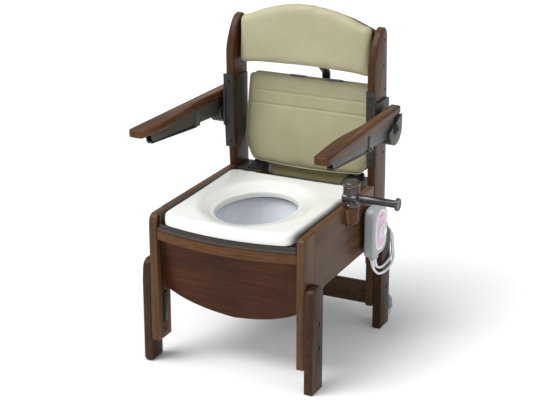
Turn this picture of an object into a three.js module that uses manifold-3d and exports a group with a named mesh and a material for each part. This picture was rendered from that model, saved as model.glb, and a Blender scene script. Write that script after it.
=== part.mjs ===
import * as THREE from 'three';
import { mergeVertices } from 'three/addons/utils/BufferGeometryUtils.js';
import Module from 'manifold-3d';

// Wooden commode chair: side frames with bolt-on legs, flip-up armrests, a lifting toilet seat over a
// bucket, a padded two-panel lid, a swinging paper holder and a heated-seat controller with its leads.
// Millimetres. +X is the chair's left-to-right seen from the front, +Y is backwards, +Z is up.
// Inside the chair group x = 0 is the mid plane, y = 0 the front of the legs and z = 0 the floor.

const wasm = await Module();
wasm.setup();

// Driving dimensions
const footprintX = 36;            // mid plane to the middle of the whole footprint
const footprintY = 248;           // front of the legs to the middle of the whole footprint
const gap = 0.3;                  // clearance kept where two pieces touch
const halfInside = 180;           // mid plane to the inner face of a side frame
const boardThick = 20;            // side frame thickness
const halfOutside = halfInside + boardThick;
const frameTop = 380;             // top of the side frames
const stileWidth = 61;            // front stile, front to back
const stileFoot = 58;             // lower end of the stile and of the post
const postRear = 484;             // rear edge of the post at the frame's height
const postFront = 410;            // front edge of the post at the frame's height
const postTop = 767;
const archTop = 227;              // lower edge of the side panel
const holePitch = 30;             // leg height holes
const lowHole = 77;               // lowest leg hole above the floor
const frontHoleY = 33;
const rearHoleY = 447;
const legThick = 22;
const legDepth = 57;
const legTop = 263;
const legRound = 24;              // corners of each leg's upper end
const armPivotY = 428;
const armPivotZ = 527;
const armTop = 576;
const armWood = 20;               // armrest thickness
const seatTop = 386;
const seatBottom = 358;
const seatHingeY = 386;
const seatHingeZ = 371;
const deckTop = 376;              // top of the tray behind the seat
const wellTop = 352;              // and between the lid hinges, where the lid's flap hangs
const lidHingeY = 462;            // the lid's underside plane when it stands upright
const lidHingeZ = 384.5;
const lidPanel = 232;             // length of the rear panel, hinge line to fold line
const lidLean = THREE.MathUtils.degToRad(-4);
const lidGap = 1.8;               // underside of each board to the hinge plane
const lidHalf = 172;              // half width where the panels are widest
const boardLid = 4;               // stiff board under each pad
const padLid = 10;                // pad on each board
const holderX = 205;
const holderY = 254;
const controllerX = 209;          // inner face of the controller
const controllerY = 322;          // its front edge
const controllerZ = 224;          // its lower end
const cordR = 3.1;                // both leads
const boltHole = 3.4;             // radius of the leg holes
const pinBoreR = 7.6;             // bore around each armrest pin
const pinR = 6.8;
const hankX = 175;                // middle of the wound spare lead
const hankHalf = 28;
const hankLow = 74;
const hankHigh = 223;
const hankFront = 497;
const hankBack = 519;
const strapWall = 1.5;

// Materials
function look(color, roughness, metalness = 0) {
  return new THREE.MeshStandardMaterial({ color, roughness, metalness });
}
const walnut = look(0x5b3f2d, 0.45);
const paleWalnut = look(0x7a5a40, 0.45);
const redWalnut = look(0x4a2c21, 0.5);
const vinyl = look(0xb8b48c, 0.55);
const ivory = look(0xecece4, 0.3);
const lavender = look(0xc8cedd, 0.4);
const trayBrown = look(0x423d38, 0.5);
const blackPlastic = look(0x1d1d20, 0.5);
const bracketGrey = look(0x36353a, 0.5);
const beamGrey = look(0x4a4a4e, 0.45);
const hingeBlue = look(0x8b93a0, 0.35, 0.4);
const gunmetal = look(0x4d4a4a, 0.35, 0.6);
const zinc = look(0x9a9ca0, 0.35, 0.8);
const caseGrey = look(0xd5d8dc, 0.4);
const dialWhite = look(0xf0eff2, 0.35);
const cordWhite = look(0xe9e9ea, 0.5);
const plugGrey = look(0x8496a3, 0.45);

const chair = new THREE.Group();

// Geometry helpers
function toSolid(geometry) {
  const bare = geometry.index ? geometry.toNonIndexed() : geometry.clone();
  bare.deleteAttribute('normal');
  bare.deleteAttribute('uv');
  const merged = mergeVertices(bare, 1e-4);
  const vertProperties = new Float32Array(merged.attributes.position.array);
  const triVerts = new Uint32Array(merged.index.array);
  return new wasm.Manifold(new wasm.Mesh({ numProp: 3, vertProperties, triVerts }));
}

function toGeometry(solid) {
  const mesh = solid.getMesh();
  const geometry = new THREE.BufferGeometry();
  geometry.setAttribute('position', new THREE.BufferAttribute(mesh.vertProperties.slice(), 3));
  geometry.setIndex(new THREE.BufferAttribute(mesh.triVerts.slice(), 1));
  geometry.computeVertexNormals();
  return geometry;
}

function join(...pieces) {
  return toGeometry(pieces.map(toSolid).reduce((a, b) => a.add(b)));
}

function cut(body, ...tools) {
  return toGeometry(tools.map(toSolid).reduce((a, b) => a.subtract(b), toSolid(body)));
}

function box(x0, x1, y0, y1, z0, z1) {
  const geometry = new THREE.BoxGeometry(x1 - x0, y1 - y0, z1 - z0);
  return geometry.translate((x0 + x1) / 2, (y0 + y1) / 2, (z0 + z1) / 2);
}

function basis(x, y, z) {
  const axes = [x, y, z].map((axis) => new THREE.Vector3(...axis));
  return new THREE.Matrix4().makeBasis(...axes);
}

// An outline given a thickness, its edges chamfered inside that thickness.
function extruded(shape, thick, bevel, segments) {
  const geometry = new THREE.ExtrudeGeometry(shape, {
    depth: thick - 2 * bevel,
    curveSegments: segments,
    bevelEnabled: bevel > 0,
    bevelThickness: bevel,
    bevelSize: bevel,
    bevelOffset: -bevel,
    bevelSegments: 1,
  });
  return geometry.translate(0, 0, bevel);
}

// An outline drawn in (y, z) made solid from x0 to x1.
function alongX(shape, x0, x1, bevel = 0, segments = 6) {
  const geometry = extruded(shape, x1 - x0, bevel, segments);
  return geometry.applyMatrix4(basis([0, 1, 0], [0, 0, 1], [1, 0, 0])).translate(x0, 0, 0);
}

// An outline drawn in (x, z) made solid from y0 to y1.
function alongY(shape, y0, y1, bevel = 0, segments = 6) {
  const geometry = extruded(shape, y1 - y0, bevel, segments);
  return geometry.applyMatrix4(basis([1, 0, 0], [0, 0, 1], [0, -1, 0])).translate(0, y1, 0);
}

// An outline drawn in (x, y) made solid from z0 to z1.
function alongZ(shape, z0, z1, bevel = 0, segments = 6) {
  return extruded(shape, z1 - z0, bevel, segments).translate(0, 0, z0);
}

function rodX(r, x0, x1, y, z, sides = 16) {
  const geometry = new THREE.CylinderGeometry(r, r, x1 - x0, sides).rotateZ(-Math.PI / 2);
  return geometry.translate((x0 + x1) / 2, y, z);
}

function rodZ(r, x, y, z0, z1, sides = 24, rTop = r) {
  const geometry = new THREE.CylinderGeometry(rTop, r, z1 - z0, sides).rotateX(Math.PI / 2);
  return geometry.translate(x, y, (z0 + z1) / 2);
}

function roundedRect(a0, a1, b0, b1, r) {
  const shape = new THREE.Shape();
  shape.moveTo(a0 + r, b0);
  shape.lineTo(a1 - r, b0);
  shape.absarc(a1 - r, b0 + r, r, -Math.PI / 2, 0);
  shape.lineTo(a1, b1 - r);
  shape.absarc(a1 - r, b1 - r, r, 0, Math.PI / 2);
  shape.lineTo(a0 + r, b1);
  shape.absarc(a0 + r, b1 - r, r, Math.PI / 2, Math.PI);
  shape.lineTo(a0, b0 + r);
  shape.absarc(a0 + r, b0 + r, r, Math.PI, 1.5 * Math.PI);
  return shape;
}

function ovalHole(rx, ry, cx, cy) {
  const hole = new THREE.Path();
  hole.absellipse(cx, cy, rx, ry, 0, 2 * Math.PI, true);
  return hole;
}

function cordTube(points, sides, steps) {
  const knots = points.map((p) => new THREE.Vector3(...p));
  const path = new THREE.CatmullRomCurve3(knots, false, 'centripetal');
  const section = new THREE.Shape();
  for (let i = 0; i < sides; i += 1) {
    const a = (2 * Math.PI * i) / sides;
    section[i ? 'lineTo' : 'moveTo'](cordR * Math.cos(a), cordR * Math.sin(a));
  }
  return new THREE.ExtrudeGeometry(section, { extrudePath: path, steps, bevelEnabled: false });
}

// A right-hand piece turned into its left-hand twin: the faces are turned back outwards.
function mirrored(geometry) {
  const solid = toSolid(geometry);
  return toGeometry(solid.mirror([1, 0, 0]));
}

function place(parent, name, geometry, material) {
  const mesh = new THREE.Mesh(geometry, material);
  mesh.name = name;
  parent.add(mesh);
  return mesh;
}

function placePair(parentRight, parentLeft, name, geometry, material) {
  place(parentRight, `${name}_right`, geometry, material);
  place(parentLeft, `${name}_left`, mirrored(geometry), material);
}

// A row of four leg height holes through a side frame
function heightHoles(y) {
  const heights = [0, 1, 2, 3].map((i) => lowHole + i * holePitch);
  return heights.map((z) => rodX(boltHole, halfInside - 5, halfOutside + 5, y, z, 8));
}

// Side frames: front stile, side panel and post, glued edge to edge
function postFrontAt(z) {
  return postFront - 15 * Math.sin((Math.PI / 2) * Math.min(1, Math.max(0, (z - frameTop) / 300)));
}

function makeSideFrames() {
  const stileShape = new THREE.Shape();
  stileShape.moveTo(0, stileFoot);
  stileShape.lineTo(stileWidth, stileFoot);
  stileShape.lineTo(stileWidth, frameTop);
  stileShape.lineTo(18, frameTop);
  stileShape.absarc(18, frameTop - 18, 18, Math.PI / 2, Math.PI);
  const stile = cut(alongX(stileShape, halfInside, halfOutside, 0, 4), ...heightHoles(frontHoleY));
  placePair(chair, chair, 'front_stile', stile, paleWalnut);

  const panelShape = new THREE.Shape();
  const panelBack = postFront - gap;
  panelShape.moveTo(stileWidth + gap, 180);
  panelShape.quadraticCurveTo(stileWidth + 12, archTop - 4, stileWidth + 62, archTop);
  panelShape.lineTo(panelBack - 62, archTop);
  panelShape.quadraticCurveTo(panelBack - 12, archTop - 4, panelBack, 180);
  panelShape.lineTo(panelBack, frameTop);
  panelShape.lineTo(stileWidth + gap, frameTop);
  const pocket = rodZ(18, holderX, holderY, 334, frameTop + 5, 20);
  const panel = alongX(panelShape, halfInside + 1, halfOutside - 1, 0, 6);
  place(chair, 'side_panel_right', cut(panel, pocket), walnut);
  place(chair, 'side_panel_left', mirrored(panel), walnut);

  const postShape = new THREE.Shape();
  postShape.moveTo(postFront, stileFoot);
  postShape.lineTo(postRear, stileFoot);
  postShape.lineTo(postRear, frameTop);
  postShape.lineTo(postRear - 6, 600);
  postShape.lineTo(postRear - 12, postTop - 20);
  postShape.quadraticCurveTo(466, postTop, 455, postTop);
  postShape.bezierCurveTo(436, postTop, 424, 748, 412, 727);
  postShape.quadraticCurveTo(398, 703, postFrontAt(680), 680);
  for (const z of [620, 560, 500, 440, frameTop]) {
    postShape.lineTo(postFrontAt(z), z);
  }
  const pinHole = rodX(pinBoreR, halfInside - 5, halfOutside + 5, armPivotY, armPivotZ, 16);
  const post = cut(alongX(postShape, halfInside, halfOutside, 0, 4), ...heightHoles(rearHoleY), pinHole);
  placePair(chair, chair, 'post', post, walnut);
}

// Bolt-on legs, each held by two bolts on a washer strip
function makeLegs() {
  const legHoles = [lowHole + holePitch, lowHole + 3 * holePitch];
  for (const [where, y0, holeY] of [['front', 0, frontHoleY], ['rear', 414, rearHoleY]]) {
    const x0 = halfOutside + gap;
    const x1 = x0 + legThick;
    const shape = new THREE.Shape();
    shape.moveTo(y0, 0);
    shape.lineTo(y0 + legDepth, 0);
    shape.lineTo(y0 + legDepth, legTop - legRound);
    shape.absarc(y0 + legDepth - legRound, legTop - legRound, legRound, 0, Math.PI / 2);
    shape.lineTo(y0 + legRound, legTop);
    shape.absarc(y0 + legRound, legTop - legRound, legRound, Math.PI / 2, Math.PI);
    const bores = legHoles.map((z) => rodX(boltHole, x0 - 5, x1 + 5, holeY, z, 8));
    const sinks = legHoles.map((z) => rodX(7, x1 - 6, x1 + 5, holeY, z, 12));
    const leg = cut(alongX(shape, x0, x1, 0, 4), ...bores, ...sinks);
    placePair(chair, chair, `leg_${where}`, leg, walnut);
    const stripX = halfInside - gap;
    const strip = box(stripX - 2, stripX, holeY - 8, holeY + 8, legHoles[0] - 9, legHoles[1] + 9);
    const shanks = legHoles.map((z) => rodX(2.8, stripX - 1, x1 - 5, holeY, z, 8));
    const heads = legHoles.map((z) => rodX(6.2, x1 - 5.6, x1 - 1, holeY, z, 10));
    placePair(chair, chair, `leg_bolts_${where}`, join(strip, ...shanks, ...heads), zinc);
  }
}

// Bowed front rail, sloping front panel, upper rear rail and low stretcher
function makeRails() {
  const inside = halfInside - gap;
  const bow = 26;
  const railShape = new THREE.Shape();
  railShape.moveTo(-inside, 3);
  railShape.quadraticCurveTo(0, 3 - 2 * bow, inside, 3);
  railShape.lineTo(inside, 22);
  railShape.quadraticCurveTo(0, 22 - 2 * bow, -inside, 22);
  place(chair, 'front_rail', alongZ(railShape, 317, 342, 1.5, 10), paleWalnut);

  const panelShape = new THREE.Shape();
  panelShape.moveTo(-inside + 2, 0);
  panelShape.lineTo(-inside + 2, -130);
  panelShape.quadraticCurveTo(-118, -172, 0, -180);
  panelShape.quadraticCurveTo(118, -172, inside - 2, -130);
  panelShape.lineTo(inside - 2, 0);
  const panel = alongY(panelShape, 0, 9, 1, 8);
  const mesh = place(chair, 'front_panel', panel, redWalnut);
  mesh.position.set(0, 20, 315);
  mesh.rotation.x = THREE.MathUtils.degToRad(8);

  place(chair, 'rear_rail', box(-inside, inside, 462, 480, 300, 342), walnut);
  place(chair, 'rear_stretcher', box(-inside, inside, 421, 437, 60, 116), walnut);
}

// Tray: the frame that carries the bucket, the seat and the lid
function trayOutline(half, front, bow, back) {
  const shape = new THREE.Shape();
  shape.moveTo(-half, front + 8);
  shape.quadraticCurveTo(-half, front, -half + 8, front);
  shape.quadraticCurveTo(0, front - 2 * bow, half - 8, front);
  shape.quadraticCurveTo(half, front, half, front + 8);
  shape.lineTo(half, back);
  shape.lineTo(-half, back);
  return shape;
}

const lugX0 = 130;                // seat hinge lug on the tray, right side
const lugX1 = 146;
const stubLength = 14;

function makeTray() {
  const half = halfInside - gap;
  const floorShape = trayOutline(half, 0, 24, 480);
  floorShape.holes.push(ovalHole(124, 142, 0, bucketY));
  const floor = alongZ(floorShape, 343, 349, 0, 10);
  const rims = [box(half - 5, half, 14, 405, 348, 381), box(-half, -half + 5, 14, 405, 348, 381)];
  const deck = box(-half, half, 404, 480, 348, deckTop);
  const wellHalf = 110;
  const well = box(-wellHalf, wellHalf, 403, 481, wellTop, deckTop + 9);
  const hollows = [
    box(-half + 4, -wellHalf - 4, 409, 475, 330, deckTop - 4),
    box(wellHalf + 4, half - 4, 409, 475, 330, deckTop - 4),
    box(-wellHalf - 5, wellHalf + 5, 409, 475, 330, wellTop - 3),
  ];
  const skirtShape = trayOutline(half - 2, 5, 23, 30);
  const skirtCut = trayOutline(half - 6, 9, 23, 40);
  const skirt = cut(alongZ(skirtShape, 348, 356, 0, 10), alongZ(skirtCut, 340, 360, 0, 10));
  const lugs = [1, -1].flatMap((side) => {
    const [x0, x1] = side > 0 ? [lugX0, lugX1] : [-lugX1, -lugX0];
    const arm = box(x0, x1, seatHingeY, 404.5, seatHingeZ - 6, deckTop - 2);
    const barrel = rodX(7, x0, x1, seatHingeY, seatHingeZ, 14);
    const stub = rodX(2.9, x0 - stubLength, x1 + stubLength, seatHingeY, seatHingeZ, 10);
    return [arm, barrel, stub];
  });
  const tray = cut(join(floor, ...rims, deck, skirt, ...lugs), well, ...hollows);
  place(chair, 'tray', tray, trayBrown);
}

// Bucket with its rolled rim, and the wire bail lying on the rim
const bucketY = 165;
const bucketStretch = 1.14;       // front-to-back length over width

function makeBucket() {
  const wall = [
    [0, 178], [84, 178], [92, 186], [118, 338], [121, 349], [133, 349],
    [133, 352.5], [117, 352.5], [113, 338], [88, 190], [80, 182], [0, 182],
  ];
  const profile = wall.map(([r, z]) => new THREE.Vector2(r, z));
  const shell = new THREE.LatheGeometry(profile, 30).rotateX(Math.PI / 2);
  shell.scale(1, bucketStretch, 1);
  const bucket = place(chair, 'bucket', join(shell), lavender);
  bucket.position.set(0, bucketY, gap);

  const bail = [];
  for (let i = 0; i <= 12; i += 1) {
    const a = Math.PI * (0.04 + (0.92 * i) / 12);
    bail.push(new THREE.Vector3(125 * Math.cos(a), bucketY + 140 * Math.sin(a), 355.3));
  }
  const path = new THREE.CatmullRomCurve3(bail);
  const ring = new THREE.Shape();
  ring.absarc(0, 0, 2, 0, 2 * Math.PI);
  const sweep = { extrudePath: path, steps: 20, curveSegments: 3, bevelEnabled: false };
  const wire = new THREE.ExtrudeGeometry(ring, sweep);
  place(chair, 'bucket_handle', wire, zinc);
}

// Toilet seat: a shell with a dished opening, hinged on the tray's two lugs
function seatOutline(inset) {
  const front = 0 + inset;
  const half = 166 - inset;
  const shape = new THREE.Shape();
  shape.moveTo(-half, front + 26);
  shape.quadraticCurveTo(-half + 1, front + 2, -half + 26, front - 3);
  shape.quadraticCurveTo(0, front - 38, half - 26, front - 3);
  shape.quadraticCurveTo(half - 1, front + 2, half, front + 26);
  shape.lineTo(half + 6, 371 - inset);
  shape.lineTo(-half - 6, 371 - inset);
  return shape;
}

function makeSeat() {
  const opening = [93, 120, 0, 165];
  const outer = seatOutline(0);
  outer.holes.push(ovalHole(...opening));
  const body = alongZ(outer, seatBottom, seatTop, 4, 10);
  const under = seatOutline(7);
  under.holes.push(ovalHole(opening[0] + 12, opening[1] + 12, 0, 165));
  const hollow = alongZ(under, seatBottom - 10, seatTop - 7, 0, 8);
  const shell = cut(body, hollow);
  const knuckles = [1, -1].flatMap((side) => {
    const spans = [[lugX0 - stubLength - 2, lugX0 - 0.5], [lugX1 + 0.5, lugX1 + stubLength + 2]];
    return spans.flatMap(([a, b]) => {
      const [x0, x1] = side > 0 ? [a, b] : [-b, -a];
      const arm = box(x0, x1, 369, seatHingeY, seatHingeZ - 6, seatHingeZ + 6);
      return [arm, rodX(7, x0, x1, seatHingeY, seatHingeZ, 14)];
    });
  });
  const bores = [1, -1].map((side) => {
    const [x0, x1] = side > 0 ? [lugX0 - 40, lugX1 + 40] : [-lugX1 - 40, -lugX0 + 40];
    return rodX(3.4, x0, x1, seatHingeY, seatHingeZ, 12);
  });
  place(chair, 'toilet_seat', cut(join(shell, ...knuckles), ...bores), ivory);
}

// Lid: two padded panels, hinged behind the seat and folded face to face when it stands up
const hingeX0 = 112;              // lid hinge base, right side
const hingeX1 = 150;

// Widest a little above its free edge, which is bowed, and narrower towards the fold.
function panelOutline(half, z0, z1) {
  const shape = new THREE.Shape();
  shape.moveTo(-half + 32, z0 + 6.5);
  shape.quadraticCurveTo(0, z0 - 6.5, half - 32, z0 + 6.5);
  shape.quadraticCurveTo(half - 21, z0 + 8, half - 16, z0 + 20);
  shape.quadraticCurveTo(half - 1, z0 + 50, half, z0 + 68);
  shape.lineTo(half - 11, z1 - 12);
  shape.quadraticCurveTo(half - 12, z1, half - 24, z1);
  shape.lineTo(-half + 24, z1);
  shape.quadraticCurveTo(-half + 12, z1, -half + 11, z1 - 12);
  shape.lineTo(-half, z0 + 68);
  shape.quadraticCurveTo(-half + 1, z0 + 50, -half + 16, z0 + 20);
  shape.quadraticCurveTo(-half + 21, z0 + 8, -half + 32, z0 + 6.5);
  return shape;
}

function makeLid() {
  const lid = new THREE.Group();
  lid.position.set(0, lidHingeY, lidHingeZ);
  lid.rotation.x = lidLean;
  chair.add(lid);
  const top = lidPanel - 3;
  const tip = -1.5;
  const knuckleX = [hingeX0 + 12.5, hingeX1 - 12.5];
  const board = alongY(panelOutline(lidHalf - 6, 8, top - 2), lidGap, lidGap + boardLid, 0, 6);
  const flap = box(-107, 107, lidGap, lidGap + boardLid, -30, 20);
  const tabs = [1, -1].flatMap((side) => {
    const [x0, x1] = side > 0 ? knuckleX : [-knuckleX[1], -knuckleX[0]];
    return [box(x0, x1, 0, lidGap + boardLid, 0, 16), rodX(6, x0, x1, 0, 0, 14)];
  });
  const bores = [1, -1].map((side) => rodX(3.4, side * 131 - 30, side * 131 + 30, 0, 0, 12));
  place(lid, 'lid_rear_board', cut(join(board, flap, ...tabs), ...bores), vinyl);
  const under = lidGap + boardLid;
  const rearPad = alongY(panelOutline(lidHalf, 2, top), under + gap, under + padLid, 3, 6);
  place(lid, 'lid_rear_pad', rearPad, vinyl);

  const frontBoard = alongY(panelOutline(lidHalf - 6, tip + 6, top - 2), -under, -lidGap, 0, 8);
  place(lid, 'lid_front_board', frontBoard, vinyl);
  const frontPad = alongY(panelOutline(lidHalf, tip, top), -under - padLid, -under - gap, 3, 8);
  place(lid, 'lid_front_pad', frontPad, vinyl);

  const fold = lidPanel;
  for (const [name, x] of [['left', -38], ['right', 62]]) {
    const rearLeaf = box(x - 22, x + 22, 0.5, lidGap - gap, fold - 26, fold);
    const knuckleSpans = [[x - 22, x - 7.5], [x + 7.5, x + 22]];
    const rearKnuckles = knuckleSpans.map(([a, b]) => rodX(2.2, a, b, 0, fold, 10));
    const pin = rodX(1, x - 22, x + 22, 0, fold, 8);
    const slot = box(x - 7.5, x + 7.5, 0, 3, fold - 3, fold + 3);
    place(lid, `fold_leaf_rear_${name}`, join(cut(rearLeaf, slot), ...rearKnuckles, pin), hingeBlue);
    const frontLeaf = box(x - 22, x + 22, -lidGap + gap, -0.5, fold - 26, fold);
    const frontKnuckle = rodX(2.2, x - 7, x + 7, 0, fold, 10);
    const slotSpans = [[x - 23, x - 7], [x + 7, x + 23]];
    const slots = slotSpans.map(([a, b]) => box(a, b, -3, 0, fold - 3, fold + 3));
    const bore = rodX(1.4, x - 30, x + 30, 0, fold, 10);
    const leaf = cut(join(cut(frontLeaf, ...slots), frontKnuckle), bore);
    place(lid, `fold_leaf_front_${name}`, leaf, hingeBlue);
  }

  const flange = box(hingeX0, hingeX1, 414, lidHingeY - 7, deckTop + gap, deckTop + 8);
  const ears = [[hingeX0, hingeX0 + 12], [hingeX1 - 12, hingeX1]].flatMap(([a, b]) => [
    box(a, b, lidHingeY - 8, lidHingeY + 6, deckTop + gap, lidHingeZ),
    rodX(6, a, b, lidHingeY, lidHingeZ, 14),
  ]);
  const hingePin = rodX(2.9, hingeX0, hingeX1, lidHingeY, lidHingeZ, 10);
  placePair(chair, chair, 'lid_hinge_base', join(flange, ...ears, hingePin), blackPlastic);
}

// Backrest between the posts, and the black arm that the raised lid leans on
function makeBackrest() {
  const half = halfInside - 4;
  const c = 14;
  function outline(h, z0, z1, rise) {
    const shape = new THREE.Shape();
    shape.moveTo(-h + c, z0);
    shape.quadraticCurveTo(0, z0 + 8, h - c, z0);
    shape.quadraticCurveTo(h, z0, h, z0 + c);
    shape.lineTo(h, z1 - c);
    shape.quadraticCurveTo(h, z1, h - c, z1 + 4);
    shape.quadraticCurveTo(0, z1 + 2 * rise, -h + c, z1 + 4);
    shape.quadraticCurveTo(-h, z1, -h, z1 - c);
    shape.lineTo(-h, z0 + c);
    shape.quadraticCurveTo(-h, z0, -h + c, z0);
    return shape;
  }
  const seam = 447;
  const boardRear = 459;
  place(chair, 'backrest_board', alongY(outline(half + 3, 652, 758, 40), seam, boardRear, 1, 7), walnut);
  place(chair, 'backrest_pad', alongY(outline(half, 648, 764, 42), 424, seam - gap, 4, 7), vinyl);

  const arm = new THREE.Shape();
  const back = boardRear + gap;
  arm.moveTo(back, 716);
  arm.lineTo(back, 664);
  arm.quadraticCurveTo(back, 652, 496, 626);
  arm.lineTo(498, 582);
  arm.lineTo(505, 582);
  arm.lineTo(503, 630);
  arm.quadraticCurveTo(back + 9, 656, back + 7, 668);
  arm.lineTo(back + 7, 716);
  place(chair, 'lid_stop', alongX(arm, 18, 38, 0, 5), blackPlastic);
}

// Armrest bracket, pivot pin, wooden armrest, beam with its ribbed drum, and release lever
function makeArms() {
  const pinY = armPivotY;
  const levels = [430, 470, 510, 550, 590, 622];
  const front = new THREE.Shape();
  levels.forEach((z, i) => front[i ? 'lineTo' : 'moveTo'](postFrontAt(z) - gap - 3.5, z));
  [...levels].reverse().forEach((z) => front.lineTo(postFrontAt(z) - gap, z));
  const frontPlate = alongX(front, halfInside, halfOutside + 5, 0);
  const sideShape = roundedRect(392, 478, 486, 592, 8);
  const sidePlate = alongX(sideShape, halfOutside + gap, halfOutside + 6, 0, 4);
  const boss = rodX(20, halfOutside + 3, halfOutside + 11, pinY, armPivotZ, 24);
  const bore = rodX(pinBoreR, halfOutside - 5, halfOutside + 20, pinY, armPivotZ, 16);
  const sideTie = box(halfOutside + gap, halfOutside + 5, 390, 394, 492, 586);
  const bracket = cut(join(frontPlate, sidePlate, sideTie, boss), bore);
  placePair(chair, chair, 'arm_bracket', bracket, bracketGrey);

  const innerShape = roundedRect(413, 472, 442, 614, 6);
  const innerPlate = alongX(innerShape, halfInside - 3, halfInside - gap, 0, 3);
  const shaft = rodX(pinR, halfInside - 1, 247, pinY, armPivotZ, 16);
  const head = rodX(12, 246, 250, pinY, armPivotZ, 20);
  placePair(chair, chair, 'arm_pin', join(innerPlate, shaft, head), bracketGrey);

  const right = new THREE.Group();
  const left = new THREE.Group();
  for (const arm of [right, left]) {
    arm.position.set(0, armPivotY, armPivotZ);
    chair.add(arm);
  }
  const y0 = 8 - armPivotY;
  const y1 = 470 - armPivotY;
  const woodTop = armTop - armPivotZ;
  const plan = new THREE.Shape();
  plan.moveTo(224, y0);
  plan.lineTo(243, y0);
  plan.quadraticCurveTo(253, y0, 253, y0 + 10);
  plan.lineTo(241, y1 - 8);
  plan.quadraticCurveTo(241, y1, 233, y1);
  plan.lineTo(220, y1);
  plan.quadraticCurveTo(214, y1, 214, y1 - 6);
  plan.bezierCurveTo(215, y1 - 90, 220, y1 - 150, 216, y1 - 210);
  plan.bezierCurveTo(212, y1 - 260, 206, y1 - 290, 207, y1 - 340);
  plan.bezierCurveTo(208, y1 - 380, 212, y0 + 40, 214, y0 + 10);
  plan.quadraticCurveTo(215, y0, 224, y0);
  const wood = alongZ(plan, woodTop - armWood, woodTop, 3, 6);
  placePair(right, left, 'armrest', wood, walnut);

  const woodUnder = woodTop - armWood - gap;
  const beamShape = new THREE.Shape();
  beamShape.moveTo(60 - armPivotY, woodUnder);
  beamShape.lineTo(66 - armPivotY, woodUnder - 16);
  beamShape.lineTo(-150, woodUnder - 18);
  beamShape.lineTo(-30, woodUnder - 44);
  beamShape.lineTo(0, woodUnder - 44);
  beamShape.lineTo(0, woodUnder);
  const beam = alongX(beamShape, 222, 238, 0);
  function drum(r) {
    const shape = new THREE.Shape();
    shape.moveTo(-r, woodUnder);
    shape.absarc(0, 0, r, Math.PI, 2 * Math.PI);
    shape.lineTo(r, woodUnder);
    return shape;
  }
  const core = alongX(drum(36), 213, 245, 0, 8);
  const finPitch = 9.2;
  const finThick = 4.4;
  const finX = [0, 1, 2, 3].map((i) => 213 + i * finPitch);
  const fins = finX.map((x) => alongX(drum(40), x, x + finThick, 0, 8));
  const pinBore = rodX(pinBoreR, 200, 260, 0, 0, 16);
  const lugSpans = [[219, 222.7], [237.3, 241]];
  const lugs = lugSpans.map(([a, b]) => box(a, b, -158, -134, woodUnder - 48, woodUnder));
  const leverPin = rodX(2.6, 219, 241, -146, woodUnder - 39, 10);
  const beamWhole = cut(join(beam, core, ...fins, ...lugs, leverPin), pinBore);
  placePair(right, left, 'arm_beam', beamWhole, beamGrey);

  const leverShape = new THREE.Shape();
  leverShape.moveTo(46 - armPivotY, woodUnder - 28);
  leverShape.lineTo(56 - armPivotY, woodUnder - 42);
  leverShape.lineTo(-146, woodUnder - 47);
  leverShape.absarc(-146, woodUnder - 39, 8, -Math.PI / 2, Math.PI / 2);
  leverShape.lineTo(58 - armPivotY, woodUnder - 25);
  const leverBore = rodX(3.1, 210, 250, -146, woodUnder - 39, 12);
  const lever = cut(alongX(leverShape, 223, 237, 0, 5), leverBore);
  placePair(right, left, 'arm_lever', lever, blackPlastic);
}

// Paper holder: socket on the side frame, turning body and straight bar
function makeHolder() {
  const boss = rodZ(16, holderX, holderY, 338, frameTop + 2, 24);
  const ear = box(halfOutside - 1 + gap, holderX + 4, holderY - 26, holderY + 26, 342, frameTop - 4);
  const spindle = rodZ(8, holderX, holderY, frameTop, 424, 16);
  place(chair, 'holder_socket', join(boss, ear, spindle), walnut);
  const body = rodZ(20, holderX, holderY, frameTop + 2 + gap, 438, 28);
  const cap = rodZ(21.5, holderX, holderY, 436, 443, 28, 20);
  const inner = rodZ(8.5, holderX, holderY, frameTop, 425, 16);
  const socketX = rodX(9.9, holderX + 13, holderX + 40, holderY, 402, 20);
  place(chair, 'holder_body', cut(join(body, cap), inner, socketX), gunmetal);
  const bar = rodX(9.3, holderX + 14, 320, holderY, 402, 20);
  const flange = rodX(15.5, 318, 325, holderY, 402, 24);
  place(chair, 'holder_bar', join(bar, flange), gunmetal);
}

// Controller on its hanger, with the dial and the two-cord gland
function makeController() {
  const y1 = controllerY + 88;
  const z1 = controllerZ + 125;
  const shape = new THREE.Shape();
  shape.moveTo(controllerY + 14, controllerZ);
  shape.lineTo(y1 - 30, controllerZ);
  shape.quadraticCurveTo(y1, controllerZ + 2, y1, controllerZ + 40);
  shape.lineTo(y1, z1 - 46);
  shape.quadraticCurveTo(y1, z1, y1 - 40, z1);
  shape.lineTo(controllerY + 24, z1);
  shape.quadraticCurveTo(controllerY, z1, controllerY, z1 - 24);
  shape.lineTo(controllerY, controllerZ + 16);
  shape.quadraticCurveTo(controllerY, controllerZ, controllerY + 14, controllerZ);
  const face = controllerX + 28;
  place(chair, 'controller_case', alongX(shape, controllerX, face, 4, 6), caseGrey);
  const dialY = controllerY + 48;
  const dialZ = controllerZ + 60;
  const disc = rodX(17, face + gap, face + 8, dialY, dialZ, 28);
  const grip = box(face + 7, face + 11, dialY - 3, dialY + 3, dialZ - 14, dialZ + 14);
  place(chair, 'controller_dial', join(disc, grip), dialWhite);
  const hangerShape = roundedRect(340, 392, 282, 336, 6);
  const hanger = alongX(hangerShape, halfOutside - 1 + gap, controllerX - gap, 0, 3);
  place(chair, 'controller_hanger', hanger, bracketGrey);
  const gland = alongZ(roundedRect(216, 232, 338, 370, 6), controllerZ - 10, controllerZ - gap, 0, 3);
  place(chair, 'controller_gland', gland, caseGrey);
}

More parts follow.
